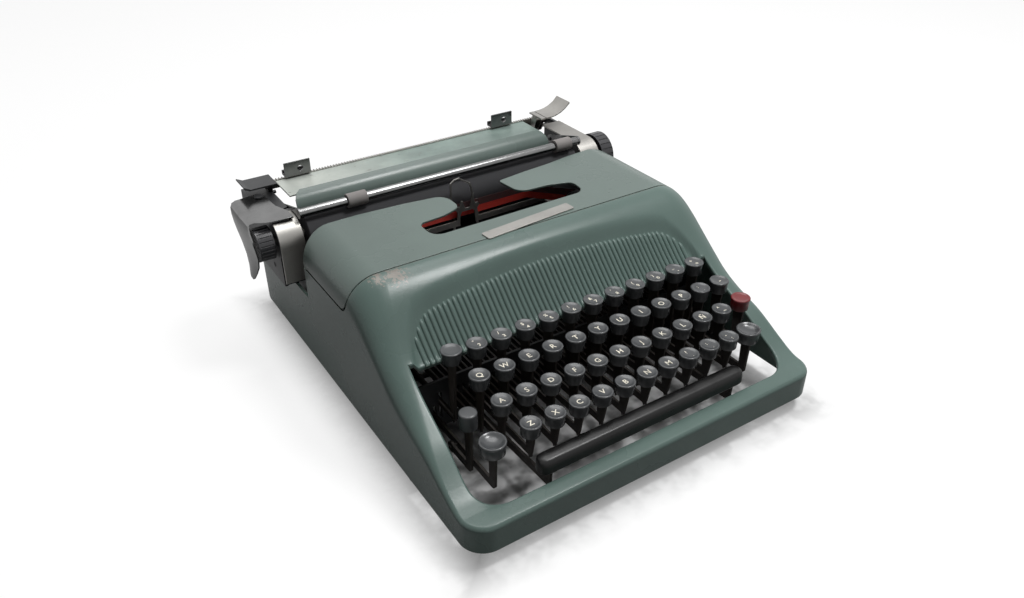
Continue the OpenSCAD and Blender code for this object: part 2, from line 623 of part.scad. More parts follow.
module knob(x, l, r) difference() {
    rod_x(x, l, platen_y, platen_z, r);
    rod_x(x - 1, l + 2, platen_y, platen_z, shaft_r);
    for (i = [0 : 23]) translate([x + 1, platen_y, platen_z]) rotate([15 * i, 0, 0])
        translate([0, r, 0]) rotate([0, 90, 0]) cylinder(h = l - 2, r = 0.6, $fn = 13);
}
module platen_knob_left() color([0.08, 0.08, 0.09])
    knob(carriage_x - end_x - knob_gap_left - knob_l, knob_l, knob_left_r);
module platen_knob_right() color([0.08, 0.08, 0.09])
    knob(carriage_x + end_x + knob_gap_right, knob_l, knob_right_r);

module feed_rollers() color([0.1, 0.1, 0.1]) {
    for (x = [-70, 0, 70]) rod_x(carriage_x + x - 20, 40, feed_y, feed_z, feed_r);
    rod_x(carriage_x - end_x, 2 * end_x, feed_y, feed_z, feed_shaft_r);
}

paddle_gap = 3.5;
paddle_x = -end_x - knob_gap_left - knob_l - sheet - paddle_gap;
arm_front_y = platen_y - 7;
arm_in_x = -bail_arm_x - sheet - 2;

// Arm that turns on the left end's pin, and its bent-down finger paddle
module return_lever() color([0.72, 0.73, 0.74]) translate([carriage_x, 0, 0]) {
    translate([0, 0, top_strip_z + gap]) linear_extrude(sheet) difference() {
        polygon([[paddle_x, lever_pivot[1] - 8], [paddle_x + 6, lever_pivot[1] + 4],
            [lever_pivot[0], lever_pivot[1] + 8], [lever_pivot[0] + 7, lever_pivot[1] + 3],
            [lever_pivot[0] + 6, lever_pivot[1] - 18], [arm_in_x, lever_pivot[1] - 26], [arm_in_x, arm_front_y],
            [arm_in_x - 12, arm_front_y - 1], [arm_in_x - 22, arm_front_y + 5], [paddle_x, arm_front_y + 14]]);
        translate(lever_pivot) circle(lever_pin_r + run_gap);
    }
    sheet_x(paddle_x, sheet) {
        offset(6) offset(-6) polygon([[platen_y - 8, platen_z + 17], [platen_y + 27, top_strip_z + gap],
            [platen_y + 58, platen_z - 1], [platen_y + 44, platen_z - 19], [platen_y + 26, platen_z - 31],
            [platen_y + 6, platen_z - 31], [platen_y - 2, platen_z - 12]]);
        translate([platen_y + 12, platen_z + 8]) square([20, strip_r + gap + sheet - 8]);
    }
}

module paper_bail() color([0.75, 0.76, 0.77]) translate([carriage_x, 0, 0]) {
    rod_x(-bail_arm_x - sheet, 2 * (bail_arm_x + sheet), bail_y, bail_z, bail_r);
    for (s = [0, 1]) mirror([s, 0, 0]) sheet_x(-bail_arm_x - sheet, sheet) difference() {
        bar_2d([bail_y, bail_z], bail_pivot, 4);
        translate(bail_pivot) circle(bail_pin_r + run_gap);
    }
}
module bail_rollers() color([0.4, 0.38, 0.37]) translate([carriage_x, 0, 0]) for (x = [-82, 111])
    difference() {
        rod_x(x - 8, 16, bail_y, bail_z, bail_roller_r);
        rod_x(x - 9, 18, bail_y, bail_z, bail_r + run_gap);
    }

table_w = 238;
table_top_z = platen_z + 28;     // height of the paper table's upper edge
module paper_table() color([0.36, 0.46, 0.41]) sheet_x(carriage_x - table_w / 2, table_w)
    polygon([[platen_y + strip_r + 2, bed_z + bed_t], [platen_y + strip_r + 3.5, bed_z + bed_t],
        [platen_y + strip_r + 3.5, platen_z], [platen_y + 26, table_top_z - 1], [platen_y + 24.5, table_top_z],
        [platen_y + strip_r + 2, platen_z + 2]]);

rear_z = platen_z + 15;
rear_w = 240;
rear_l = 32;
module rear_plate() color([0.62, 0.66, 0.63]) translate([carriage_x - rear_w / 2, platen_y + 33, rear_z]) {
    cube([rear_w, rear_l, sheet]);
    for (x = [12, rear_w - 14]) translate([x, 20, bed_z + bed_t - rear_z]) cube([2, 2, rear_z - bed_z - bed_t]);
}

rack_y = platen_y + 33 + rear_l + gap;
rack_h = 8;
rack_top = rear_z - 5 + rack_h;
tooth = 2.5;
stop_w = 22;
stop_h = 12;

// Toothed bar that holds the margin stops
module margin_rack() color([0.7, 0.7, 0.7]) {
    half_l = end_x - end_t;
    teeth = floor(2 * half_l / tooth) - 1;
    translate([carriage_x, rack_y + 2, 0]) rotate([90, 0, 0]) linear_extrude(2) polygon(concat(
        [[half_l, rack_top - rack_h], [half_l, rack_top - 1]],
        [for (i = [0 : teeth], k = [0 : 3]) [half_l - 1 - i * tooth - [0, 0.4, 1, 1.4][k],
            rack_top - [1, 0, 0, 1][k]]],
        [[-half_l, rack_top - 1], [-half_l, rack_top - rack_h]]));
}

// Folded clip that straddles the rack, with a round hole in its front
module margin_stop() {
    translate([-stop_w / 2, rack_y - 3, rack_top + gap]) difference() {
        cube([stop_w, 8, stop_h]);
        translate([-1, 1.2, 1.2]) cube([stop_w + 2, 5.6, stop_h]);
        translate([-1, 5, 4]) cube([stop_w + 2, 5, stop_h]);
        translate([stop_w * 0.6, -1, stop_h * 0.45]) rotate([-90, 0, 0]) cylinder(h = 4, r = 2.4);
    }
}
module margin_stop_left() color([0.25, 0.25, 0.26]) translate([-109, 0, 0]) margin_stop();
module margin_stop_right() color([0.25, 0.25, 0.26]) translate([87, 0, 0]) margin_stop();

// Finger tabs that rock on studs of the carriage ends; the outline runs along X and Z
tab_l = 20;
module finger_tab(outline) {
    sheet_x(0, 4) difference() {
        bar_2d(tab_pivot, [tab_pivot[0] - 4, top_strip_z + 5], 3.5);
        translate(tab_pivot) circle(bail_pin_r + run_gap);
    }
    translate([0, tab_pivot[0] + 4, top_strip_z + 7]) rotate([90, 0, 0]) linear_extrude(tab_l) polygon(outline);
}

// Side view of a tab that rises towards its outer end
function risen(l, h, n = 5) = concat([for (i = [0 : n]) [l * i / n, h * pow(i / n, 2.6)]],
    [for (i = [n : -1 : 0]) [l * i / n - (i == n ? 0.8 : 0), h * pow(i / n, 2.6) + sheet]]);
module paper_release_lever() color([0.7, 0.7, 0.7]) translate([carriage_x + cover_in - 5, 0, 0])
    finger_tab([[0, 0], [4.7, 0], [4.7, sheet], [0, sheet]]);
module carriage_release_left() color([0.3, 0.3, 0.31]) translate([carriage_x - cover_in + 2, 0, 0])
    mirror([1, 0, 0]) finger_tab([[-1, 0], [21, 0], [25, 2.5], [25, 2.5 + sheet], [20, sheet], [-1, sheet]]);
module carriage_release_right() color([0.6, 0.6, 0.6]) translate([carriage_x + cover_in + 0.5, 0, 0])
    finger_tab(risen(26, 10));

// The carriage reaches further to the left than to the right, so the origin lies under the middle
// of the whole machine and the body stands beside it
middle_x = -(2 * carriage_x + paddle_x + end_x + knob_gap_right + knob_l) / 2;
module centred() translate([middle_x, 0, 0]) children();

centred() main_shell();
centred() top_cover();
centred() badge_plate();
centred() chassis();
centred() feet();
centred() carriage_rails();
centred() type_segment();
centred() type_bars();
centred() type_bar_y();
centred() type_guide();
centred() ribbon_plates();
centred() ribbon_spool_left();
centred() ribbon_spool_right();
centred() ribbon();
centred() ribbon_vibrator();
centred() key_comb();
centred() fulcrum_rod();
centred() key_caps_bank_1();
centred() key_caps_bank_2();
centred() key_caps_bank_3();
centred() key_caps_bank_4();
centred() key_levers_bank_1();
centred() key_levers_bank_2();
centred() key_levers_bank_3();
centred() key_levers_bank_4();
centred() key_cap_y();
centred() key_lever_y();
centred() backspace_cap();
centred() backspace_lever();
centred() tab_cap();
centred() tab_lever();
centred() shift_key_left();
centred() shift_key_right();
centred() shift_frame();
centred() shift_lock_cap();
centred() shift_lock_lever();
centred() space_bar();
centred() space_bar_arms();
centred() carriage_bed();
centred() end_plate_left();
centred() end_plate_right();
centred() end_cover_left();
centred() end_cover_right();
centred() platen_roller();
centred() platen_shaft();
centred() platen_knob_left();
centred() platen_knob_right();
centred() feed_rollers();
centred() return_lever();
centred() paper_bail();
centred() bail_rollers();
centred() paper_table();
centred() rear_plate();
centred() margin_rack();
centred() margin_stop_left();
centred() margin_stop_right();
centred() paper_release_lever();
centred() carriage_release_left();
centred() carriage_release_right();
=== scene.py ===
"""Finish of a portable manual typewriter: enamel shells, moulded keys, plated and blackened steel.

Lengths in the code are millimetres in the body's own frame: X right from the middle of the body,
Y to the rear, Z up from the table. metres() turns them into the shared frame.
"""

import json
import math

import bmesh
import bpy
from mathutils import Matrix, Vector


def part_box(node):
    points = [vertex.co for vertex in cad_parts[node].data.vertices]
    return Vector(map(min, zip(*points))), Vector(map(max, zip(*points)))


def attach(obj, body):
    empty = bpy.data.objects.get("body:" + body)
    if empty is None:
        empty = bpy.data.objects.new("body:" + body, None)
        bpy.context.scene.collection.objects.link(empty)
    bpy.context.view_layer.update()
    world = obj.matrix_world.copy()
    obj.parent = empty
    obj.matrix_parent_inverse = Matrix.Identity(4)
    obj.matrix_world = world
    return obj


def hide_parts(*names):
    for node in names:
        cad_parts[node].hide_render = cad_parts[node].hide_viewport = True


bl_info = {
    "name": "Portable Typewriter Finish",
    "version": (1, 0, 0),
    "blender": (4, 5, 0),
    "location": "3D View > Sidebar > Typewriter",
    "description": "Makes the enamelled, moulded and plated surfaces of a portable typewriter",
    "category": "Object",
}

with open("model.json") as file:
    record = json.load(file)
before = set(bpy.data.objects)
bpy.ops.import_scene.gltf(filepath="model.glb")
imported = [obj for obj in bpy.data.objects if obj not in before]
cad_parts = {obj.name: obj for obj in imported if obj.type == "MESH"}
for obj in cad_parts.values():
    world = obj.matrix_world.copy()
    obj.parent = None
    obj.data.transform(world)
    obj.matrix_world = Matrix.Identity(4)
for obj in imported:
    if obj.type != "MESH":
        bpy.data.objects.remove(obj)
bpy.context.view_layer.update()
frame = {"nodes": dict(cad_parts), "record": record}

MM = 0.001


def span(node):
    """Lowest and highest corner of a node, in millimetres of the shared frame."""
    low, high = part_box(node)
    return low / MM, high / MM


SHELL_LOW, SHELL_HIGH = span("main_shell")
MIDDLE_X = (SHELL_LOW.x + SHELL_HIGH.x) / 2
HALF_W = (SHELL_HIGH.x - SHELL_LOW.x) / 2
FRONT_Y = SHELL_LOW.y
REAR_Y = SHELL_HIGH.y
LIFT = SHELL_LOW.z

BODY_OF = {node: body for body, nodes in frame["record"]["behaviour"]["bodies"].items() for node in nodes}


def extent(node):
    """Lowest corner, highest corner and middle of a node in the body's frame."""
    first, last = (Vector((corner.x - MIDDLE_X, corner.y, corner.z)) for corner in span(node))
    return first, last, (first + last) / 2


def metres(point):
    """A point of the body's frame, in the shared frame."""
    return Vector(((point[0] + MIDDLE_X) * MM, point[1] * MM, point[2] * MM))


def casing(name):
    """One of the casing's sizes, in millimetres."""
    return getattr(bpy.context.scene.typewriter_shell, name) / MM


# ---------------------------------------------------------------- mesh helpers
WELD = 0.00002                    # points nearer than this, in metres, become one


def smooth_step(a, b, value):
    """0 at a, 1 at b, level at both."""
    t = max(0.0, min(1.0, (value - a) / (b - a)))
    return t * t * (3 - 2 * t)


def fillet(corners, steps=5):
    """Outline through [x, y, radius] corners, each rounded by an arc."""
    outline = []
    count = len(corners)
    for i, corner in enumerate(corners):
        here = Vector(corner[:2])
        radius = corner[2]
        before = (Vector(corners[i - 1][:2]) - here).normalized()
        after = (Vector(corners[(i + 1) % count][:2]) - here).normalized()
        half = before.angle(after) / 2
        if radius <= 0 or half > math.radians(89):
            outline.append(here)
            continue
        reach = radius / math.tan(half)
        centre = here + (before + after).normalized() * (radius / math.sin(half))
        start = here + before * reach - centre
        sweep = math.pi - 2 * half
        side = 1 if start.cross(here + after * reach - centre) > 0 else -1
        for k in range(steps + 1):
            outline.append(centre + Matrix.Rotation(side * sweep * k / steps, 2) @ start)
    return outline


def new_object(name, mesh):
    """Object at the origin that shows the mesh."""
    obj = bpy.data.objects.new(name, mesh)
    bpy.context.scene.collection.objects.link(obj)
    return obj


def edit(mesh, change):
    """Runs change(bmesh) on the mesh."""
    build = bmesh.new()
    build.from_mesh(mesh)
    change(build)
    build.to_mesh(mesh)
    build.free()
    return mesh


def mesh_from(name, points, faces):
    """Mesh of points in the body's frame, welded, with its normals turned outwards."""
    def weld(build):
        bmesh.ops.remove_doubles(build, verts=build.verts, dist=WELD)
        bmesh.ops.recalc_face_normals(build, faces=build.faces)
    mesh = bpy.data.meshes.new(name)
    mesh.from_pydata([metres(p) for p in points], [], faces)
    return edit(mesh, weld)


def bake_modifiers(obj):
    """Turns the object's modifiers into its plain mesh."""
    graph = bpy.context.evaluated_depsgraph_get()
    mesh = bpy.data.meshes.new_from_object(obj.evaluated_get(graph))
    obj.modifiers.clear()
    obj.data = mesh
    return obj


def soften(obj, width, angle=35, segments=2):
    """Rounds the hard edges, then shades smooth with level faces kept level."""
    if width > 0:
        bevel = obj.modifiers.new("Edges", "BEVEL")
        bevel.width = width * MM
        bevel.segments = segments
        bevel.limit_method = "ANGLE"
        bevel.angle_limit = math.radians(angle)
        bevel.use_clamp_overlap = True
    bake_modifiers(obj)
    for face in obj.data.polygons:
        face.use_smooth = True
    obj.data.set_sharp_from_angle(angle=math.radians(angle + 15))
    weighted = obj.modifiers.new("Level", "WEIGHTED_NORMAL")
    weighted.keep_sharp = True
    weighted.weight = 80
    bake_modifiers(obj)
    return obj


def thicken(obj, wall, offset=-1):
    """Gives a sheet its wall: inwards, or to both sides with offset 0."""
    solid = obj.modifiers.new("Wall", "SOLIDIFY")
    solid.thickness = wall * MM
    solid.offset = offset
    solid.use_even_offset = False
    bake_modifiers(obj)
    return obj


def finish(obj, body, slot_name, material, *nodes):
    """Paints a finished piece, hangs it on its body and lets it stand for its nodes."""
    obj.data.materials.clear()
    obj.data.materials.append(material)
    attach(obj, body)
    if nodes:
        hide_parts(*nodes)
    return obj


def lathe(name, profile, segments, at):
    """Closed turned shape from [radius, height] pairs that begin and end on the axis."""
    points = []
    rings = []
    for radius, height in profile:
        turns = segments if radius > 0 else 1
        rings.append(range(len(points), len(points) + turns))
        for k in range(turns):
            a = math.tau * k / segments
            points.append((at[0] + radius * math.cos(a), at[1] + radius * math.sin(a), at[2] + height))
    faces = []
    for lower, upper in zip(rings, rings[1:]):
        for k in range(segments):
            n = (k + 1) % segments
            corners = [ring[i % len(ring)] for ring, i in ((lower, k), (lower, n), (upper, n), (upper, k))]
            faces.append(list(dict.fromkeys(corners)))
    return new_object(name, mesh_from(name, points, faces))


def join(name, pieces):
    """One object from several, in the order given."""
    build = bmesh.new()
    for piece in pieces:
        build.from_mesh(piece.data)
    mesh = bpy.data.meshes.new(name)
    build.to_mesh(mesh)
    build.free()
    for piece in pieces:
        bpy.data.objects.remove(piece)
    return new_object(name, mesh)


# ---------------------------------------------------------------- shader helpers
class Shader:
    """Builds one node tree, with values or links given socket by socket."""

    def __init__(self, tree):
        self.tree = tree

    def node(self, kind, settings=None, **inputs):
        item = self.tree.nodes.new(kind)
        for key, value in (settings or {}).items():
            setattr(item, key, value)
        for key, value in inputs.items():
            self.put(item, key.replace("_", " "), value)
        return item

    def put(self, item, socket, value):
        target = item.inputs[socket]
        if isinstance(value, bpy.types.NodeSocket):
            self.tree.links.new(value, target)
        elif isinstance(value, bpy.types.Node):
            self.tree.links.new(value.outputs[0], target)
        else:
            target.default_value = value

    def pair(self, kind, operation, a, b):
        item = self.node(kind, {"operation": operation})
        self.put(item, 0, a)
        self.put(item, 1, b)
        return item

    def math(self, operation, a, b=0.0):
        return self.pair("ShaderNodeMath", operation, a, b).outputs[0]

    def vector(self, operation, a, b):
        return self.pair("ShaderNodeVectorMath", operation, a, b).outputs["Value"]

    def ramp(self, factor, low, high, to_min=0.0, to_max=1.0):
        return self.node("ShaderNodeMapRange", {"clamp": True, "interpolation_type": "SMOOTHSTEP"}, Value=factor,
                         From_Min=low, From_Max=high, To_Min=to_min, To_Max=to_max).outputs[0]

    def mix(self, factor, a, b):
        item = self.node("ShaderNodeMix", {"data_type": "RGBA"})
        for socket, value in ((0, factor), (6, a), (7, b)):
            self.put(item, socket, value)
        return item.outputs[2]

    def noise(self, vector, scale, detail, roughness):
        item = self.node("ShaderNodeTexNoise", Vector=vector, Scale=scale, Detail=detail, Roughness=roughness)
        return item.outputs[0]

    def place(self):
        """Object coordinates of the shaded point."""
        return self.node("ShaderNodeTexCoord").outputs["Object"]

    def use(self, tree, **inputs):
        """Outputs of a node group given its inputs."""
        return list(self.node("ShaderNodeGroup", {"node_tree": tree}, **inputs).outputs)

    def bump(self, surface, height, distance, strength):
        item = self.node("ShaderNodeBump", Height=height, Distance=distance, Strength=strength)
        self.put(surface, "Normal", item)


def node_tree(name, kind, inputs, outputs, build):
    """Node tree made once; build(shader, inputs) returns its outputs in order."""
    tree = bpy.data.node_groups.get(name)
    if tree:
        return tree
    tree = bpy.data.node_groups.new(name, kind + "NodeTree")
    for label, socket_kind, *default in inputs:
        socket = tree.interface.new_socket(label, in_out="INPUT", socket_type="NodeSocket" + socket_kind)
        if default:
            socket.default_value = default[0]
    for label, socket_kind in outputs:
        tree.interface.new_socket(label, in_out="OUTPUT", socket_type="NodeSocket" + socket_kind)
    given = tree.nodes.new("NodeGroupInput").outputs
    result = tree.nodes.new("NodeGroupOutput").inputs
    for value, target in zip(build(Shader(tree), given), result):
        tree.links.new(value, target)
    return tree


def group(name, inputs, outputs, build):
    """Shader group whose outputs are all single values."""
    return node_tree(name, "Shader", inputs, [(label, "Float") for label in outputs], build)


def edge_wear_group():
    """Mask that is 1 on rubbed edges, broken up by grain."""
    def build(s, given):
        rounded = s.node("ShaderNodeBevel", {"samples": 4}, Radius=given["Radius"])
        facing = s.vector("DOT_PRODUCT", rounded, s.node("ShaderNodeNewGeometry").outputs["Normal"])
        grain = s.noise(s.place(), given["Grain"], 6.0, 0.65)
        broken = s.math("MULTIPLY", s.math("SUBTRACT", 1.0, facing), s.ramp(grain, 0.35, 0.7, 0.2, 2.2))
        return [s.ramp(s.math("MULTIPLY", broken, given["Amount"]), 0.12, 0.32)]
    inputs = [("Radius", "Float", 0.0006), ("Grain", "Float", 220.0), ("Amount", "Float", 1.0)]
    return group("edge_wear", inputs, ["Mask"], build)


def mottle_group():
    """Broad cloudy variation and fine specks, both 0 to 1."""
    def build(s, given):
        place = s.place()
        broad = s.noise(place, given["Broad"], 5.0, 0.6)
        fine = s.noise(place, given["Fine"], 3.0, 0.6)
        return [s.ramp(broad, 0.3, 0.7), s.ramp(fine, 0.62, 0.74)]
    return group("mottle", [("Broad", "Float", 9.0), ("Fine", "Float", 420.0)], ["Cloud", "Specks"], build)


def grain_group():
    """Fine height field of a sprayed, moulded or brushed surface."""
    def build(s, given):
        stretched = s.node("ShaderNodeMapping", Vector=s.place(), Scale=given["Stretch"])
        return [s.noise(stretched, given["Scale"], 3.0, 0.5)]
    inputs = [("Scale", "Float", 900.0), ("Stretch", "Vector", (1.0, 1.0, 1.0))]
    return group("surface_grain", inputs, ["Height"], build)


def knock_group():
    """Ragged patch of knocked-off enamel round one place."""
    def build(s, given):
        place = s.place()
        share = s.math("DIVIDE", s.vector("DISTANCE", place, given["Centre"]), given["Reach"])
        ragged = s.math("SUBTRACT", s.noise(place, 420.0, 5.0, 0.7), s.math("MULTIPLY", share, 0.22))
        return [s.ramp(ragged, 0.33, 0.37)]
    inputs = [("Centre", "Vector", (0.0, 0.0, 0.0)), ("Reach", "Float", 0.01)]
    return group("knocks", inputs, ["Mask"], build)


def material(name, build):
    """Material of that name, made once; build(shader, principled) wires it."""
    made = bpy.data.materials.get(name)
    if made:
        return made
    made = bpy.data.materials.new(name)
    made.use_nodes = True
    shader = Shader(made.node_tree)
    build(shader, made.node_tree.nodes["Principled BSDF"])
    return made


def shade(colour, factor=1.0):
    """The colour times the factor, with full alpha."""
    return (colour[0] * factor, colour[1] * factor, colour[2] * factor, 1.0)


def enamel(name, colour, wear, knocks=()):
    """Stove enamel: soft gloss, faint orange peel, cloudy fading, chips on rubbed edges."""
    def build(s, surface):
        cloud, specks = s.use(mottle_group(), Broad=7.0, Fine=330.0)
        tone = s.mix(cloud, shade(colour, 0.9), shade(colour, 1.08))
        dusty = s.mix(s.math("MULTIPLY", specks, 0.10), tone, shade(colour, 1.9))
        primer = s.mix(cloud, (0.05, 0.042, 0.035, 1.0), (0.50, 0.46, 0.40, 1.0))
        chips = s.use(edge_wear_group(), Radius=0.0011, Grain=150.0, Amount=wear)[0]
        bare = s.math("MULTIPLY", chips, 0.75)
        for *centre, reach in knocks:
            bare = s.math("MAXIMUM", bare, s.use(knock_group(), Centre=metres(centre), Reach=reach * MM)[0])
        s.put(surface, "Base Color", s.mix(bare, dusty, primer))
        surface.inputs["Specular IOR Level"].default_value = 0.3
        s.put(surface, "Roughness", s.ramp(cloud, 0.0, 1.0, 0.25, 0.33))
        s.bump(surface, s.use(grain_group(), Scale=650.0)[0], 0.00006, 0.5)
    return material(name, build)


def steel(name, colour, roughness, wear, tarnish, stretch=(1.0, 1.0, 1.0), metallic=1.0):
    """Bare or plated metal with handling marks, dull patches and a drawn grain."""
    def build(s, surface):
        cloud, specks = s.use(mottle_group(), Broad=30.0, Fine=260.0)
        tone = s.mix(cloud, shade(colour, 1.0 - 0.5 * tarnish), shade(colour))
        marked = s.mix(s.math("MULTIPLY", specks, 0.5 * tarnish), tone, shade(colour, 0.25))
        edges = s.use(edge_wear_group(), Radius=0.0005, Grain=300.0, Amount=wear)[0]
        s.put(surface, "Base Color", s.mix(s.math("MULTIPLY", edges, 0.6), marked, shade(colour, 1.5)))
        surface.inputs["Metallic"].default_value = metallic
        s.put(surface, "Roughness", s.ramp(cloud, 0.0, 1.0, roughness + 0.1 * tarnish, roughness))
        s.bump(surface, s.use(grain_group(), Scale=500.0, Stretch=stretch)[0], 0.00003, 0.5)
    return material(name, build)


def moulding(name, colour, roughness, dust, gloss=0.4, coat=0.0, peel=0.3):
    """Moulded plastic or rubber: even gloss, dust in patches, fine moulding texture."""
    def build(s, surface):
        cloud, specks = s.use(mottle_group(), Broad=60.0, Fine=700.0)
        tone = s.mix(cloud, shade(colour, 0.85), shade(colour, 1.2))
        s.put(surface, "Base Color", s.mix(s.math("MULTIPLY", specks, dust), tone, (0.16, 0.15, 0.13, 1.0)))
        s.put(surface, "Roughness", s.ramp(cloud, 0.0, 1.0, roughness, roughness + 0.1))
        surface.inputs["Specular IOR Level"].default_value = gloss
        surface.inputs["Coat Weight"].default_value = coat
        surface.inputs["Coat Roughness"].default_value = 0.12
        s.bump(surface, s.use(grain_group(), Scale=1400.0)[0], 0.00003, peel)
    return material(name, build)


def ink_ribbon(name, black, red, split_z):
    """Inked cloth ribbon: black above, red below, with its weave."""
    def build(s, surface):
        height = s.node("ShaderNodeSeparateXYZ", Vector=s.place()).outputs[2]
        half = s.ramp(height, (split_z - 0.15) * MM, (split_z + 0.15) * MM)
        weave = s.use(grain_group(), Scale=3200.0, Stretch=(1.0, 1.0, 0.4))[0]
        tone = s.mix(half, shade(red), shade(black))
        s.put(surface, "Base Color", s.mix(s.ramp(weave, 0.4, 0.7, 0.0, 0.4), tone, shade(red, 0.5)))
        surface.inputs["Roughness"].default_value = 0.55
        surface.inputs["Sheen Weight"].default_value = 0.15
        s.bump(surface, weave, 0.0001, 0.7)
    return material(name, build)


def plated_sheet(name, tint):
    """Plated sheet, pale and freckled on the left, tinted towards the right."""
    def build(s, surface):
        cloud, specks = s.use(mottle_group(), Broad=26.0, Fine=150.0)
        across = s.ramp(s.node("ShaderNodeSeparateXYZ", Vector=s.place()).outputs[0], -0.10, 0.02)
        pale = s.mix(cloud, (0.46, 0.50, 0.46, 1.0), (0.60, 0.63, 0.58, 1.0))
        tone = s.mix(across, pale, s.mix(cloud, shade(tint, 1.2), shade(tint, 1.9)))
        s.put(surface, "Base Color", s.mix(s.math("MULTIPLY", specks, 0.6), tone, (0.12, 0.09, 0.08, 1.0)))
        surface.inputs["Metallic"].default_value = 0.2
        surface.inputs["Roughness"].default_value = 0.4
    return material(name, build)


def floor_paper(name):
    """White paper: painted shade with blotchy painted key shadows beneath the part, bright in the open."""
    def build(s, surface):
        surface.inputs["Roughness"].default_value = 0.8
        surface.inputs["Specular IOR Level"].default_value = 0.1
        surface.inputs["Emission Color"].default_value = (1.0, 1.0, 1.0, 1.0)
        place = s.place()
        axes = s.node("ShaderNodeSeparateXYZ", Vector=place).outputs
        from_middle = s.math("ABSOLUTE", s.math("SUBTRACT", axes[0], MIDDLE_X * MM))
        beside = s.math("SUBTRACT", from_middle, HALF_W * MM)
        beyond = s.math("SUBTRACT", s.math("ABSOLUTE", axes[1]), REAR_Y * MM)
        # Only the open floor glows white; beneath the part the glow is left out, a painted shade.
        outside = s.ramp(s.math("MAXIMUM", beside, beyond), -0.03, 0.03)
        # Blotchy painted shadows of the keys on the floor beneath the part.
        painted_key_shadows = s.ramp(s.noise(place, 55.0, 2.0, 0.5), 0.38, 0.62)
        painted_shade_under_part = s.mix(painted_key_shadows, (0.25, 0.25, 0.25, 1.0), (0.8, 0.8, 0.8, 1.0))
        s.put(surface, "Base Color", s.mix(outside, painted_shade_under_part, (0.22, 0.22, 0.22, 1.0)))
        path = s.node("ShaderNodeLightPath").outputs
        mirrored = s.math("MULTIPLY", path["Is Glossy Ray"], 0.32)
        seen = s.math("MULTIPLY", s.math("MAXIMUM", path["Is Camera Ray"], mirrored), outside)
        s.put(surface, "Emission Strength", s.math("MULTIPLY", seen, 0.84))
    return material(name, build)


# ---------------------------------------------------------------- settings
GREY_STEEL = (0.36, 0.35, 0.33)
DEEP_BLACK = (0.006, 0.006, 0.006)


def colour_setting(name, description, default):
    return bpy.props.FloatVectorProperty(
        name=name, description=description, subtype="COLOR", size=3, min=0.0, max=1.0, default=default)


def length_setting(name, description, default):
    return bpy.props.FloatProperty(
        name=name, description=description, unit="LENGTH", default=default * MM, min=0.0, precision=4)


class TypewriterShell(bpy.types.PropertyGroup):
    """Sizes and colours of the enamelled casing."""

    body_colour: colour_setting("Body enamel", "Colour of the cast body's enamel", (0.118, 0.176, 0.157))
    cover_colour: colour_setting("Cover enamel", "Colour of the lift-off cover's enamel", (0.150, 0.196, 0.178))
    roll: length_setting("Bar rounding", "Rounding of the front bar's top edge", 3.2)
    corner: length_setting("Corner rounding", "Rounding of the body's upright corners", 17.0)
    lip: length_setting("Lip rounding", "Rounding of the keyboard well's turned-down lip", 1.6)
    wall: length_setting("Body wall", "Wall of the cast body", 2.4)
    cover_wall: length_setting("Cover wall", "Wall of the sheet cover", 1.8)
    panel_depth: length_setting("Panel depth", "How far the ribbed panel lies below the hood", 5.0)
    rib_pitch: length_setting("Rib pitch", "Sideways pitch of the upright ribs", 4.0)
    rib_radius: length_setting("Rib radius", "Radius of one rib", 1.7)


class TypewriterKeys(bpy.types.PropertyGroup):
    """Sizes and colours of the keyboard."""

    key_colour: colour_setting("Key colour", "Moulded colour of the key tops", (0.011, 0.011, 0.011))
    legend_colour: colour_setting("Legend colour", "Colour of the moulded-in characters", (0.95, 0.90, 0.76))
    tab_colour: colour_setting("Tab key colour", "Colour of the tabulator key", (0.16, 0.006, 0.008))
    letter_height: length_setting("Letter height", "Height of a key's single letter", 4.3)
    figure_height: length_setting("Figure height", "Height of the characters on two-character keys", 3.3)


class TypewriterCarriage(bpy.types.PropertyGroup):
    """Colours of the carriage and the works."""

    steel_colour: colour_setting("Bare steel", "Colour of the bare steel strips", GREY_STEEL)
    dark_colour: colour_setting("Blackened steel", "Colour of the japanned frame parts", (0.022, 0.023, 0.025))
    rubber_colour: colour_setting("Platen rubber", "Colour of the platen's rubber", (0.030, 0.026, 0.023))
    roller_colour: colour_setting("Bail rollers", "Colour of the paper bail's rollers", (0.105, 0.093, 0.082))
    foot_colour: colour_setting("Feet", "Colour of the rubber feet", (0.33, 0.33, 0.32))
    ribbon_red: colour_setting("Ribbon red", "Colour of the ribbon's red half", (0.62, 0.03, 0.015))


class TypewriterStage(bpy.types.PropertyGroup):
    """Light of the studio."""

    key_power: bpy.props.FloatProperty(name="Key light", description="Power of the overhead light", default=11.5,
                                       min=0.0, unit="POWER")
    fill: bpy.props.FloatProperty(name="Fill", description="Strength of the room's fill light", default=0.07,
                                  min=0.0)


# Places where the body's enamel is knocked off: x, y, z and reach
KNOCKS = [(-112, -25, 119, 9), (-124, -24, 118, 6), (-158, -158, 33, 6), (-160, -140, 43, 7),
          (-158, -118, 55, 6)]


def enamel_body():
    return enamel("body_enamel", bpy.context.scene.typewriter_shell.body_colour, 1.6, KNOCKS)


def enamel_cover():
    return enamel("cover_enamel", bpy.context.scene.typewriter_shell.cover_colour, 0.7)


def works():
    return bpy.context.scene.typewriter_carriage


def blackened():
    return steel("blackened_steel", works().dark_colour, 0.38, wear=0.35, tarnish=0.4, metallic=0.3)


def lever_black():
    return steel("lever_steel", (0.016, 0.012, 0.009), 0.5, wear=0.5, tarnish=0.8, metallic=0.4)


def bright_steel():
    return steel("bright_steel", works().steel_colour, 0.30, wear=0.2, tarnish=0.35, stretch=(1.0, 12.0, 12.0))


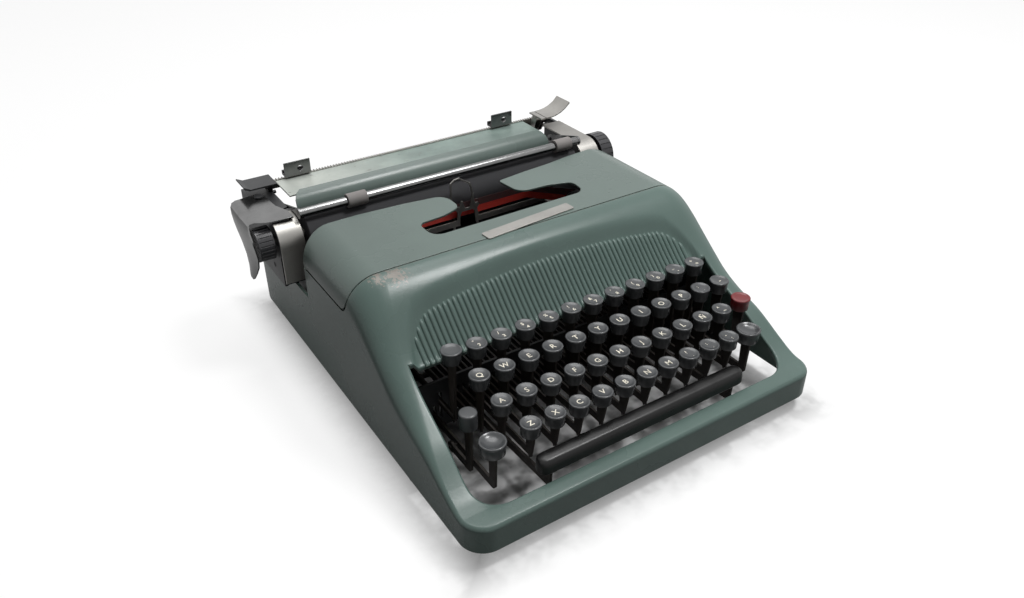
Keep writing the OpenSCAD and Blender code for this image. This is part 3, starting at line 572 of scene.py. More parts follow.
def satin_steel():
    return steel("satin_steel", GREY_STEEL, 0.38, wear=0.2, tarnish=0.45, stretch=(14.0, 1.0, 1.0))


def chrome():
    return steel("chrome", (0.22, 0.22, 0.22), 0.16, wear=0.3, tarnish=0.6)


def type_steel():
    return steel("type_steel", (0.30, 0.29, 0.28), 0.35, wear=0.3, tarnish=0.5)


def rear_steel():
    return plated_sheet("rear_steel", bpy.context.scene.typewriter_shell.cover_colour)


def key_plastic():
    return moulding("key_plastic", bpy.context.scene.typewriter_keys.key_colour, 0.36, dust=0.15, gloss=0.128)


def space_plastic():
    return moulding("space_plastic", DEEP_BLACK, 0.27, dust=0.05, gloss=0.32, peel=0.1)


def platen_rubber():
    return moulding("platen_rubber", works().rubber_colour, 0.42, dust=0.3)


def knob_plastic():
    return moulding("knob_plastic", DEEP_BLACK, 0.4, dust=0.1, gloss=0.24)


def roller_rubber():
    return moulding("roller_rubber", works().roller_colour, 0.6, dust=0.3)


def foot_rubber():
    return moulding("foot_rubber", works().foot_colour, 0.7, dust=0.3)


# ---------------------------------------------------------------- casing forms
SEAM_Y = -19.0                    # front edge of the cover
SEAM_Z = 95.5                     # height of the cover's side seam
SEAM_R = 10.0                     # rounding of the seam's lower front corner
COVER_END_Y = 57.0                # rear end of the cover's sides
COVER_GAP = 1.3                   # gap between the cover and the body's seam
WELL_FRONT = FRONT_Y + 12.0       # front edge of the keyboard well
WELL_REAR = -71.0                 # rear edge of the keyboard well
WELL_CORNER = 22.0                # rounding of the well's front corners
WELL_HALF = 132.0                 # half width of the well at its front edge
WELL_TAPER = 4.5 / 136            # how fast it narrows to the rear
PANEL_Y = -34.0                   # where the hood turns down to the ribbed panel, in the middle
PANEL_BOW = 4.8                   # how far its upper edge falls back at 90 mm from the middle
PANEL_HALF = 125.0                # half width of the panel
PANEL_END = (27.0, 32.0)          # rounding of the panel's ends, sideways and forwards
RAIL_ROUND = (15.0, 13.0)         # rounding between side and top along the rails, sideways and upwards
HOOD_ROUND = (26.0, 22.0)         # the same over the hood
BAR_TOP = 32.0                    # height of the front bar
BAR_ANGLES = (0, 5, 10, 15, 21, 28, 35, 43, 52, 62, 73, 84)     # steps round the front corners
# Upper edge of the sides as [y, z, slope] knots
SHOULDER = [(WELL_FRONT + 3, BAR_TOP, 0.0), (-142, 40.5, 0.56), (-115, 56.5, 0.46),
            (-75, 78.5, 0.75), (-45, 106, 0.98), (SEAM_Y, 121, 0.0)]
# Steps round the crown, in degrees, and up the side, as shares of its height
CROWN_ANGLES = [0, 9, 17.2, 27, 38, 50, 61, 72, 81, 90]
SIDE_ROWS = [0, 0.25, 0.5, 0.7336, 0.87]


def cubic(a, b, y):
    """Smooth curve between two [y, z, slope] knots."""
    reach = b[0] - a[0]
    t = (y - a[0]) / reach
    return (a[1] * (2 * t**3 - 3 * t * t + 1) + a[2] * reach * (t**3 - 2 * t * t + t)
            + b[1] * (3 * t * t - 2 * t**3) + b[2] * reach * (t**3 - t * t))


def fall(radius, q):
    """How far a rounding of that radius has fallen back at distance q past its start."""
    return radius - math.sqrt(max(0.0, radius**2 - q * q))


def rounding(start, radius, angles):
    """Places along one axis at the angles of a quarter circle that begins at start."""
    return [start + radius * (1 - math.cos(math.radians(a))) for a in angles]


def top_z(y):
    """Height of the casing's upper surface along its middle."""
    roll = casing("roll")
    if y <= FRONT_Y + roll:
        return BAR_TOP - fall(roll, FRONT_Y + roll - y)
    return crest_z(y)


def crest_z(y):
    """Height of the upper surface without the rounding of the front edge."""
    if y <= SHOULDER[0][0]:
        return BAR_TOP
    for a, b in zip(SHOULDER, SHOULDER[1:]):
        if y <= b[0]:
            return cubic(a, b, y)
    return SHOULDER[-1][1]


def crown(y):
    """Sideways and upward size of the rounding between side and top."""
    rail = smooth_step(-150, -75, y)
    hood = smooth_step(-75, -25, y)
    roll = casing("roll")
    return [roll + (a - roll) * rail + (b - a) * hood for a, b in zip(RAIL_ROUND, HOOD_ROUND)]


def half_width(y):
    """Half width of the casing, with its rounded front and rear corners."""
    corner = casing("corner")
    return HALF_W - fall(corner, max(0.0, FRONT_Y + corner - y, y - REAR_Y + corner))


def lip_x(y):
    """Half width of the keyboard well, with its rounded front corners."""
    line = WELL_HALF + casing("lip") - WELL_TAPER * (y - WELL_FRONT)
    return line - fall(WELL_CORNER, max(0.0, WELL_FRONT + WELL_CORNER - y))


def panel_arch(x):
    """Where the hood turns down to the ribbed panel: bowed, and rounded off at both ends."""
    across, forwards = PANEL_END
    side = min(1.0, max(0.0, abs(x) - PANEL_HALF + across) / across)
    beyond_end = 200 if side == 1 else 0
    return PANEL_Y - PANEL_BOW * (x / 90) ** 2 - forwards * fall(1, side) - beyond_end


def panel_drop(x, y):
    """Depth of the ribbed panel below the hood and the rails."""
    if y < WELL_REAR - 0.01:
        return 0.0
    return casing("panel_depth") * smooth_step(0, 9, panel_arch(x) - y)


def hood_z(x, y):
    """Height of the hood, with the ribbed panel let into it."""
    return top_z(y) - panel_drop(x, y)


def spread(a, b, count):
    """Evenly spaced places from a to b."""
    return [a + (b - a) * i / count for i in range(count + 1)]


class Patchwork:
    """Points and faces of grids that meet edge to edge."""

    def __init__(self):
        self.points = []
        self.faces = []

    def grid(self, rows):
        """Faces between rows of equal length."""
        start = len(self.points)
        width = len(rows[0])
        for row in rows:
            self.points.extend(row)
        for i in range(len(rows) - 1):
            for k in range(width - 1):
                a = start + i * width + k
                self.faces.append((a, a + 1, a + width + 1, a + width))

    def polygon(self, points):
        """One face round the points."""
        start = len(self.points)
        self.points.extend(points)
        self.faces.append(tuple(range(start, start + len(points))))

    def shape(self, name):
        """Object of all the faces, welded where they meet."""
        return new_object(name, mesh_from(name, self.points, self.faces))


def side_profile(y):
    """Right-hand outline at y from the lower edge to the end of the crown: [x, z] pairs."""
    x = half_width(y)
    z = crest_z(y)
    cx, cz = crown(y)
    corner = casing("corner")
    q = max(0.0, FRONT_Y + corner - y)
    arc = []
    for inwards in rounding(0.0, cx, CROWN_ANGLES):
        place = x - inwards
        if q > 0:
            inwards = min(inwards, corner - q)
            place = HALF_W - inwards - fall(corner - inwards, q)
        arc.append((place, z - cz * fall(1, 1 - inwards / cx)))
    return [(x, LIFT + f * (z - cz - LIFT)) for f in SIDE_ROWS] + arc


def seam_height(y):
    """Upper edge of the body's side wall behind the hood."""
    return SEAM_Z + fall(SEAM_R, max(0.0, SEAM_Y + SEAM_R - y))


def crown_x_at(z, y):
    """Sideways place of the side wall or crown at a height."""
    cx, cz = crown(y)
    return half_width(y) - cx * fall(1, max(0.0, z - (top_z(y) - cz)) / cz)


def body_front(patch, side):
    """Rails, front bar and hood, on one side of the middle."""
    places = rounding(FRONT_Y, casing("corner"), BAR_ANGLES) + [FRONT_Y + 2.3, WELL_FRONT]
    places += rounding(WELL_FRONT, WELL_CORNER, range(0, 91, 10))
    places += spread(-145, WELL_REAR, 18) + spread(WELL_REAR, SEAM_Y, 26)
    ys = sorted({round(y, 4) for y in places})
    rows = []
    for y in ys:
        outline = side_profile(y)
        x, z = outline[-1]
        inner = lip_x(max(y, WELL_FRONT)) if y < WELL_REAR else min(lip_x(WELL_REAR), x - 1.5)
        row = [(side * px, y, pz) for px, pz in outline]
        row += [(side * px, y, z - panel_drop(px, y)) for px in spread(x, inner, 3)[1:]]
        rows.append(row)
    patch.grid(rows)
    return ys, rows


def build_body_sheet():
    """Outer surface of the cast body as one sheet, open below and in the well."""
    patch = Patchwork()
    ys, right = body_front(patch, 1)
    left = body_front(patch, -1)[1]
    # Columns across the hood: set places over the panel, then shares of what is left on each side
    inner = [-110, -105, -100, -95] + spread(-90, 90, 18) + [95, 100, 105, 110]
    outer = [0.14, 0.28, 0.4, 0.5, 0.6, 0.69, 0.77, 0.84, 0.92]
    bar = [i for i, y in enumerate(ys) if y <= WELL_FRONT + 0.001]
    hood = [i for i, y in enumerate(ys) if y >= WELL_REAR - 0.001]
    for rows in (bar, hood):
        grid = []
        for i in rows:
            start, end = left[i][-1], right[i][-1]
            if rows is bar:
                middle = spread(start[0], end[0], 12)[1:-1]
            else:
                margin = [inner[-1] + (end[0] - inner[-1]) * f for f in outer]
                middle = [-x for x in reversed(margin)] + inner + margin
            grid.append([start] + [(x, ys[i], hood_z(x, ys[i])) for x in middle] + [end])
        patch.grid(grid)
    patch.polygon(left[0] + right[0][::-1])
    # The rows of the hood's side that lie below the seam go on to the rear
    seam = seam_height(SEAM_Y) - LIFT
    shares = [(z - LIFT) / seam for x, z in side_profile(SEAM_Y)[:8]]
    sides = sorted(set(rounding(SEAM_Y, SEAM_R, range(0, 91, 15)) + spread(SEAM_Y + SEAM_R, COVER_END_Y, 8)))
    corner = casing("corner")
    rear = spread(COVER_END_Y, REAR_Y - corner, 10) + rounding(REAR_Y, -corner, range(75, -1, -15))
    ends = []
    for side in (-1, 1):
        rows = []
        for y in sides:
            heights = [LIFT + f * (seam_height(y) - LIFT) for f in shares]
            rows.append([(side * crown_x_at(z, y), y, z) for z in heights])
        patch.grid(rows)
        rows = [[(side * half_width(y), y, LIFT + f * (SEAM_Z - LIFT)) for f in shares[:4]] for y in rear]
        patch.grid(rows)
        ends.append(rows[-1])
    patch.grid(ends)
    return patch


def add_lip(build):
    """Rolls the edge of the well inwards and down."""
    def on_well(v):
        return (WELL_FRONT * MM - 1e-4 <= v.co.y <= WELL_REAR * MM + 1e-4
                and abs(v.co.x - MIDDLE_X * MM) < (HALF_W - 6) * MM and v.co.z > (LIFT + 5) * MM)
    radius = casing("lip") * MM
    edges = [e for e in build.edges if e.is_boundary and all(map(on_well, e.verts))]
    edge_set = set(edges)
    ring = list(dict.fromkeys(v for e in edges for v in e.verts))
    inward = {}
    for v in ring:
        others = [e.other_vert(v).co for e in v.link_edges if e in edge_set]
        run = others[0] - others[1] if len(others) == 2 else others[0] - v.co
        across = Vector((-run.y, run.x, 0)).normalized()
        centre = Vector((MIDDLE_X * MM, (WELL_FRONT + WELL_REAR) / 2 * MM, v.co.z))
        inward[v] = across if across.dot(centre - v.co) > 0 else -across
    previous = {v: v for v in ring}
    start = {v: v.co.copy() for v in ring}
    steps = [(math.sin(math.radians(a)), 1 - math.cos(math.radians(a))) for a in (22, 45, 68, 90)] + [(1.0, 2.2)]
    for across, down in steps:
        fresh = {v: build.verts.new(start[v] + inward[v] * across * radius - Vector((0, 0, down * radius)))
                 for v in ring}
        for e in edges:
            a, b = e.verts
            build.faces.new((previous[a], previous[b], fresh[b], fresh[a]))
        previous = fresh
    bmesh.ops.recalc_face_normals(build, faces=build.faces)


def rib_lines():
    """One polyline for each rib, over the panel and round its lower lip."""
    pitch = casing("rib_pitch")
    lip = casing("lip")
    count = int(120 / pitch)
    lines = []
    for i in range(-count, count + 1):
        x = i * pitch
        top = panel_arch(x) - 8.5
        rim = hood_z(x, WELL_REAR)
        line = [(x, WELL_REAR - lip * 0.9, rim - lip * 0.8), (x, WELL_REAR - lip * 0.6, rim - lip * 0.25)]
        line += [(x, y, hood_z(x, y) - 0.5) for y in spread(WELL_REAR, top, 7)]
        line += [(x, y, hood_z(x, y) - sunk) for y, sunk in ((top + 1.3, 1.2), (top + 1.8, 2.6))]
        lines.append(line)
    return lines


def geometry_tree(name, inputs, build):
    """Geometry nodes; build(shader, inputs) returns what is made real and painted."""
    def wrap(s, given):
        solid = s.node("GeometryNodeRealizeInstances", Geometry=build(s, given))
        return [s.node("GeometryNodeSetMaterial", Geometry=solid, Material=given["Finish"]).outputs[0]]
    return node_tree(name, "Geometry", inputs + [("Finish", "Material")], [("Result", "Geometry")], wrap)


def sweep_tree():
    """Geometry nodes that turn every edge line into a round bar."""
    def build(s, given):
        curve = s.node("GeometryNodeMeshToCurve", Mesh=given["Lines"])
        circle = s.node("GeometryNodeCurvePrimitiveCircle", Radius=given["Radius"], Resolution=given["Sides"])
        bars = s.node("GeometryNodeCurveToMesh", Curve=curve, Profile_Curve=circle, Fill_Caps=True)
        return s.node("GeometryNodeSetShadeSmooth", Geometry=bars)
    return geometry_tree("round_bars", [("Lines", "Geometry"), ("Radius", "Float"), ("Sides", "Int")], build)


def row_tree():
    """Geometry nodes that repeat a piece along a straight row, with one place left out."""
    def build(s, given):
        line = s.node("GeometryNodeMeshLine", Count=given["Count"], Start_Location=given["Start"],
                      Offset=given["Step"])
        same = s.node("FunctionNodeCompare", {"data_type": "INT", "operation": "EQUAL"})
        s.put(same, 2, s.node("GeometryNodeInputIndex"))
        s.put(same, 3, given["Left out"])
        kept = s.node("GeometryNodeDeleteGeometry", Geometry=line, Selection=same)
        return s.node("GeometryNodeInstanceOnPoints", Points=kept, Instance=given["Piece"])
    inputs = [("Piece", "Geometry"), ("Count", "Int"), ("Start", "Vector"), ("Step", "Vector"),
              ("Left out", "Int")]
    return geometry_tree("straight_row", inputs, build)


def grow(obj, tree, values):
    """Runs a geometry-nodes tree on the object and keeps its result as a plain mesh."""
    modifier = obj.modifiers.new("Grow", "NODES")
    modifier.node_group = tree
    for item in tree.interface.items_tree:
        if item.in_out == "INPUT" and item.name in values:
            modifier[item.identifier] = values[item.name]
    obj.update_tag()
    return bake_modifiers(obj)


def line_mesh(name, lines):
    """Edges through each list of points."""
    mesh = bpy.data.meshes.new(name)
    points = []
    edges = []
    for line in lines:
        start = len(points)
        points.extend(metres(p) for p in line)
        edges.extend((start + i, start + i + 1) for i in range(len(line) - 1))
    mesh.from_pydata(points, edges, [])
    return mesh


# ---------------------------------------------------------------- operators
class MakePiece:
    """Shared options of the operators."""

    bl_options = {"REGISTER", "UNDO"}


class TYPEWRITER_OT_camera(MakePiece, bpy.types.Operator):
    """Set the camera in front of the left corner, above the keyboard"""

    bl_idname = "typewriter.camera"
    bl_label = "Camera"

    def execute(self, context):
        data = bpy.data.cameras.new("camera")
        data.sensor_width = 36.0
        data.lens = 30.192
        data.clip_start = 0.01
        obj = bpy.data.objects.new("camera", data)
        context.scene.collection.objects.link(obj)
        obj.location = metres((-313.7, -477.76, 415.6))
        obj.rotation_euler = (math.radians(57.208), math.radians(0.048), math.radians(-33.074))
        context.scene.camera = obj
        return {"FINISHED"}


class TYPEWRITER_OT_body(MakePiece, bpy.types.Operator):
    """Form the cast body with its rolled well lip and ribbed front"""

    bl_idname = "typewriter.body"
    bl_label = "Body"

    def execute(self, context):
        shell = build_body_sheet().shape("body_shell")
        edit(shell.data, add_lip)
        thicken(shell, casing("wall"))
        soften(shell, 0.0, angle=50)
        finish(shell, "body", "body_paint", enamel_body(), "main_shell")
        ribs = new_object("front_ribs", line_mesh("front_ribs", rib_lines()))
        grow(ribs, sweep_tree(), {"Radius": casing("rib_radius") * MM, "Sides": 12, "Finish": enamel_body()})
        finish(ribs, "body", "body_paint", enamel_body())
        return {"FINISHED"}


# Type slot as [x, y, rounding] and the cover's rear edge as [x, y], left and right of the middle
SLOT_LEFT = [(-66, 5.5, 9), (-66, 28.5, 6), (-44, 30, 30), (-26.5, 36.5, 9), (-27, 61, 11)]
SLOT_RIGHT = [(22.5, 59.5, 3), (25.5, 33, 10), (52, 31, 24), (71, 25, 6), (69.5, 6.5, 9)]
BACK_LEFT = [(-60, 64), (-97, 66.5)]
BACK_RIGHT = [(98, 68.8), (75, 65), (50, 62.8)]
BACK_CORNER = {-1: 66.0, 1: 70.8}       # where that edge meets the crown


class TYPEWRITER_OT_cover(MakePiece, bpy.types.Operator):
    """Form the lift-off cover with its type slot"""

    bl_idname = "typewriter.cover"
    bl_label = "Cover"

    def execute(self, context):
        front = SEAM_Y + COVER_GAP
        lower = SEAM_Z + COVER_GAP
        hem = 2.0
        z = SHOULDER[-1][1]
        cx, cz = crown(SEAM_Y)
        places = [(HALF_W - cx + cx * math.cos(math.radians(a)), z - cz + cz * math.sin(math.radians(a)), a)
                  for a in (90, 80, 70, 60, 50, 40, 31, 24, 18.8, 12, 6, 0)]
        places += [(HALF_W, lower + rise, 0) for rise in (2.2, 1.3, 0.6, 0.0)]
        patch = Patchwork()
        edges = {}
        for side in (-1, 1):
            rows = []
            for x, height, a in places:
                y_front = front + fall(SEAM_R, max(0.0, lower + SEAM_R - height))
                y_back = COVER_END_Y + (BACK_CORNER[side] - COVER_END_Y) * math.sin(math.radians(a)) ** 2
                y_back -= fall(hem, max(0.0, lower + hem - height))
                rows.append([(side * x, y, height) for y in spread(y_front, y_back, 10)])
            patch.grid(rows)
            edges[side] = [p[:2] for p in rows[0]]
        slot = fillet([(-200, 61, 0)] + SLOT_LEFT[::-1] + [(0, 5.5, 0)])[1:-1]
        slot += fillet([(0, 6, 0)] + SLOT_RIGHT[::-1] + [(200, 61, 0)])[1:-1]
        outline = edges[-1] + BACK_LEFT[::-1] + [tuple(p) for p in slot] + BACK_RIGHT[::-1] + edges[1][::-1]
        patch.polygon([(x, y, z) for x, y in outline])
        cover = patch.shape("top_cover_shell")
        thicken(cover, casing("cover_wall"))
        soften(cover, 0.45, angle=50, segments=3)
        finish(cover, "body", "cover_paint", enamel_cover(), "top_cover")
        return {"FINISHED"}


CAP_SIDES = 28
LEGEND_DEPTH = 0.68               # how far the characters lie below the rim
LETTER_SIZE = 1.4                 # size of the lettering for each millimetre of a letter's height

# Bank node, its key count with gaps, the place left out, and the characters of each key
BANKS = [
    ("key_caps_bank_1", 11, -1, ['"2', "/3", "$4", "%5", "!6", "&7", "'8", "(9", ")0", "_-", "+="]),
    ("key_caps_bank_2", 12, 5, ["Q", "W", "E", "R", "T", "Y", "U", "I", "O", "P", ":.", "-"]),
    ("key_caps_bank_3", 11, -1, ["A", "S", "D", "F", "G", "H", "J", "K", "L", "Ñ", "^~"]),
    ("key_caps_bank_4", 10, -1, ["Z", "X", "C", "V", "B", "N", "M", "?,", ":.", "-;"]),
]


def key_cap(name, radius, height, at, dish=0.8):
    """Turned key top: dished face, bright rim, straight skirt."""
    face = [(0, -dish), (radius * 0.5, -dish * 0.85), (radius * 0.76, -dish * 0.42)]
    # Rim and skirt as [distance inside the radius, height]
    rim = [(1.2, -0.05), (0.75, 0), (0.3, -0.18), (0, -0.7), (0.1, -1.3), (0.45, -1.7), (0.5, -2.4),
           (0.8, 0.8 - height), (1.4, 0.15 - height), (2.0, -height)]
    cap = lathe(name, face + [(radius - inset, z) for inset, z in rim] + [(0, -height)], CAP_SIDES, at)
    for polygon in cap.data.polygons:
        polygon.use_smooth = True
    return cap


def legend(name, characters, x, y, z):
    """Moulded-in characters of one key as flat raised shapes."""
    keys = bpy.context.scene.typewriter_keys
    marks = []
    if len(characters) == 1:
        marks.append((characters, x, y, keys.letter_height / MM))
    else:
        marks.append((characters[0], x - 1.1, y + 2.3, keys.figure_height / MM * 0.9))
        marks.append((characters[1], x + 0.8, y - 2.4, keys.figure_height / MM))
    pieces = []
    for text, mark_x, mark_y, height in marks:
        curve = bpy.data.curves.new(name, "FONT")
        curve.body = text
        curve.size = height * LETTER_SIZE * MM
        curve.align_x = "CENTER"
        curve.offset = 0.045 * MM
        curve.extrude = 0.04 * MM
        curve.resolution_u = 3
        holder = new_object(name, curve)
        bpy.context.view_layer.update()
        graph = bpy.context.evaluated_depsgraph_get()
        mesh = bpy.data.meshes.new_from_object(holder.evaluated_get(graph))
        bpy.data.objects.remove(holder)
        mesh.transform(Matrix.Translation(metres((mark_x, mark_y - height * 0.5, z))))
        pieces.append(new_object(name, mesh))
    return pieces


class TYPEWRITER_OT_keys(MakePiece, bpy.types.Operator):
    """Mould the key tops and set their characters"""

    bl_idname = "typewriter.keys"
    bl_label = "Key tops"

    def execute(self, context):
        keys = context.scene.typewriter_keys
        ink = moulding("legend_cream", keys.legend_colour, 0.5, dust=0.3)
        for number, (node, count, left_out, characters) in enumerate(BANKS, 1):
            first, last, middle = extent(node)
            y = middle.y
            radius = (last.y - first.y) / 2
            step = (last.x - first.x - 2 * radius) / (count - 1)
            start = first.x + radius
            caps = key_cap(f"key_tops_{number}", radius, last.z - first.z, (-MIDDLE_X, 0, 0))
            grow(caps, row_tree(), {"Count": count, "Start": metres((start, y, last.z)), "Left out": left_out,
                                    "Step": Vector((step * MM, 0, 0)), "Finish": key_plastic()})
            finish(caps, BODY_OF[node], "key_plastic", key_plastic(), node)
            marks = []
            z = last.z - LEGEND_DEPTH
            for place, text in enumerate(characters):
                if place != left_out:
                    marks += legend(f"legend_{number}_{place}", text, start + place * step, y, z)
            finish(join(f"legends_{number}", marks), BODY_OF[node], "key_plastic", ink)
        tab_red = moulding("tab_red", keys.tab_colour, 0.32, dust=0.2, coat=0.2)
        for node, text, dish, slot_name, paint in (
                ("key_cap_y", "Y", 0.8, "key_plastic", key_plastic()),
                ("backspace_cap", "", 0.8, "key_plastic", key_plastic()),
                ("tab_cap", "", 0.8, "key_red", tab_red),
                ("shift_key_left", "", 2.3, "key_plastic", key_plastic()),
                ("shift_key_right", "", 2.3, "key_plastic", key_plastic())):
            first, last, middle = extent(node)
            place = (middle.x, middle.y, last.z)
            cap = key_cap(node + "_top", (last.x - first.x) / 2, last.z - first.z, place, dish)
            finish(cap, BODY_OF[node], slot_name, paint, node)
            if text:
                marks = legend("legend_y", text, middle.x, middle.y, last.z - LEGEND_DEPTH)
                finish(join("legend_y_mark", marks), BODY_OF[node], "key_plastic", ink)
        first, last, middle = extent("shift_lock_cap")
        radius = (last.x - first.x) / 2
        height = last.z - first.z
        profile = [(0, 0), (radius - 1.4, 0), (radius - 0.8, -0.12), (radius - 0.3, -0.5), (radius - 0.2, -1.2),
                   (radius, 0.6 - height), (radius - 0.5, -height), (0, -height)]
        cap = lathe("shift_lock_top", profile, CAP_SIDES, (middle.x, middle.y, last.z))
        soften(cap, 0.0, angle=60)
        finish(cap, BODY_OF["shift_lock_cap"], "key_plastic", key_plastic(), "shift_lock_cap")
        return {"FINISHED"}


class TYPEWRITER_OT_space_bar(MakePiece, bpy.types.Operator):
    """Mould the space bar with its rounded back and ends"""

    bl_idname = "typewriter.space_bar"
    bl_label = "Space bar"

    def execute(self, context):
        first, last, middle = extent("space_bar")
        half = (last.x - first.x) / 2
        depth = (last.y - first.y) / 2
        height = last.z - first.z
        # Outline across the bar as [y, z], and its ends as [distance from the tip, share of the section]
        section = [(-depth + 0.5, -height), (-depth, -height + 1), (-depth, -height * 0.42),
                   (-depth * 0.86, -1.6), (-depth * 0.52, -0.35), (0, 0), (depth * 0.55, -0.3),
                   (depth * 0.9, -1.4), (depth, -3.2), (depth, -height + 1), (depth - 0.5, -height)]
        stations = [(0, 0.30), (0.8, 0.62), (2.2, 0.86), (4.2, 0.97), (7, 1.0)]
        ends = [(-half + s, f) for s, f in stations] + [(half - s, f) for s, f in reversed(stations)]
        rows = []
        for x, f in ends:
            rows.append([(middle.x + x, middle.y + y * f, last.z - height + (z + height) * (0.72 + 0.28 * f))
                         for y, z in section])
            rows[-1].append(rows[-1][0])
        patch = Patchwork()
        patch.grid(rows)
        for row in (rows[0], rows[-1]):
            patch.polygon(row[:-1])
        bar = patch.shape("space_bar_top")
        soften(bar, 0.0, angle=80)
        finish(bar, BODY_OF["space_bar"], "key_plastic", space_plastic(), "space_bar")
        return {"FINISHED"}


def dress(node, slot_name, material_made, bevel):
    """Merged copy of a node with rounded edges, in its place."""
    def merge(build):
        bmesh.ops.remove_doubles(build, verts=build.verts, dist=WELD / 4)
        bmesh.ops.dissolve_limit(build, angle_limit=math.radians(1.0), verts=build.verts, edges=build.edges)
    mesh = frame["nodes"][node].data.copy()
    mesh.name = node + "_finished"
    obj = new_object(mesh.name, edit(mesh, merge))
    soften(obj, bevel)
    return finish(obj, BODY_OF[node], slot_name, material_made, node)


# Slot, finish, edge rounding and nodes of the pieces that keep their form
WORKS = [
    ("plate", satin_steel, 0.15, "badge_plate"), ("frame_black", blackened, 0.3, "chassis"),
    ("foot_rubber", foot_rubber, 0.5, "feet"), ("ground_steel", bright_steel, 0.3, "carriage_rails"),
    ("type_steel", blackened, 0.0, "type_segment"), ("type_steel", type_steel, 0.0, "type_bars type_bar_y"),
    ("ground_steel", satin_steel, 0.2, "type_guide"), ("frame_black", blackened, 0.2, "ribbon_plates"),
    ("spool_black", blackened, 0.2, "ribbon_spool_left ribbon_spool_right"),
    ("ground_steel", satin_steel, 0.1, "ribbon_vibrator"), ("frame_black", blackened, 0.0, "key_comb"),
    ("ground_steel", bright_steel, 0.0, "fulcrum_rod"),
    ("lever_black", lever_black, 0.15, "key_levers_bank_1 key_levers_bank_2 key_levers_bank_3 "
                                       "key_levers_bank_4 key_lever_y backspace_lever tab_lever"),
    ("lever_black", lever_black, 0.2, "shift_frame shift_lock_lever space_bar_arms"),
    ("frame_black", blackened, 0.3, "carriage_bed end_plate_left end_plate_right"),
    ("end_steel", satin_steel, 0.3, "end_cover_left end_cover_right"),
    ("platen_rubber", platen_rubber, 0.4, "platen_roller"), ("ground_steel", bright_steel, 0.3, "platen_shaft"),
    ("knob_plastic", knob_plastic, 0.3, "platen_knob_left platen_knob_right"),
    ("platen_rubber", platen_rubber, 0.3, "feed_rollers"), ("bail_chrome", chrome, 0.2, "paper_bail"),
    ("roller_rubber", roller_rubber, 0.4, "bail_rollers"), ("rear_paint", rear_steel, 0.3, "rear_plate"),
    ("ground_steel", bright_steel, 0.2, "margin_rack"),
    ("frame_black", chrome, 0.3, "margin_stop_left margin_stop_right"),
    ("end_steel", bright_steel, 0.3, "paper_release_lever"),
    ("frame_black", blackened, 0.3, "carriage_release_left"),
    ("end_steel", satin_steel, 0.3, "carriage_release_right"),
]


class TYPEWRITER_OT_works(MakePiece, bpy.types.Operator):
    """Finish the levers, the type basket and the carriage"""

    bl_idname = "typewriter.works"
    bl_label = "Works and carriage"

    def execute(self, context):
        for slot_name, paint, bevel, nodes in WORKS:
            for node in nodes.split():
                dress(node, slot_name, paint(), bevel)
        return {"FINISHED"}


def bent_sheet(name, rows, wall, columns=14):
    """Sheet through rows of [x, z, first y, last y, bulge], rounded by its own curve."""
    patch = Patchwork()
    patch.grid([[(x - bulge * math.sin(math.pi * k / columns), start + (end - start) * k / columns, z)
                 for k in range(columns + 1)] for x, z, start, end, bulge in rows])
    obj = patch.shape(name)
    return thicken(obj, wall)


LEVER_PIVOT = (-151.0, 130.0)     # place of the return lever's pin
PIN_ROOM = 2.05                   # radius of the hole round it
# Return lever: [x, first y, last y] of the flat arm, then [x from the outer side, distance from the top
# or the lowest point, first y, last y, bulge] of the paddle and its tip
LEVER_ARM = [(-140, 85.5, 97), (-145, 85.2, 110), (-146.5, 85.2, 134), (-150, 85.6, 137), (-155, 86, 137),
             (-160, 87, 136), (-164, 88.5, 135.4), (-168, 91, 135)]
LEVER_PADDLE = [(3.8, 0.9, 92, 134, 0), (1.9, 3.2, 92, 132, 0), (1.2, 7, 89, 129, 0.4), (1.6, 13, 86, 128, 1.0),
                (2.6, 20, 85.4, 127, 1.5), (3.6, 28, 86, 123, 1.8), (3.6, 36, 88.5, 116, 1.6),
                (2.6, 43, 93, 110, 1.0)]
LEVER_TIP = [(1.2, 1.5, 97, 106, 0.4), (0.9, 0.0, 99, 104, 0)]


class TYPEWRITER_OT_return_lever(MakePiece, bpy.types.Operator):
    """Press the carriage return lever with its waved paddle"""

    bl_idname = "typewriter.return_lever"
    bl_label = "Return lever"

    def execute(self, context):
        first, last = extent("return_lever")[:2]
        rows = [(x, last.z, start, end, 0) for x, start, end in LEVER_ARM]
        rows += [(first.x + out, last.z - down, *rest) for out, down, *rest in LEVER_PADDLE]
        rows += [(first.x + out, first.z + up, *rest) for out, up, *rest in LEVER_TIP]
        lever = bent_sheet("return_lever_pressed", rows, 1.2)
        bore = [(0, -3), (PIN_ROOM, -3), (PIN_ROOM, 3), (0, 3)]
        pin = lathe("lever_pin_room", bore, 24, (*LEVER_PIVOT, last.z))
        cut = lever.modifiers.new("Pin room", "BOOLEAN")
        cut.operation = "DIFFERENCE"
        cut.object = pin
        bake_modifiers(lever)
        bpy.data.objects.remove(pin)
        soften(lever, 0.25, angle=40)
        finish(lever, BODY_OF["return_lever"], "bail_chrome", chrome(), "return_lever")
        return {"FINISHED"}


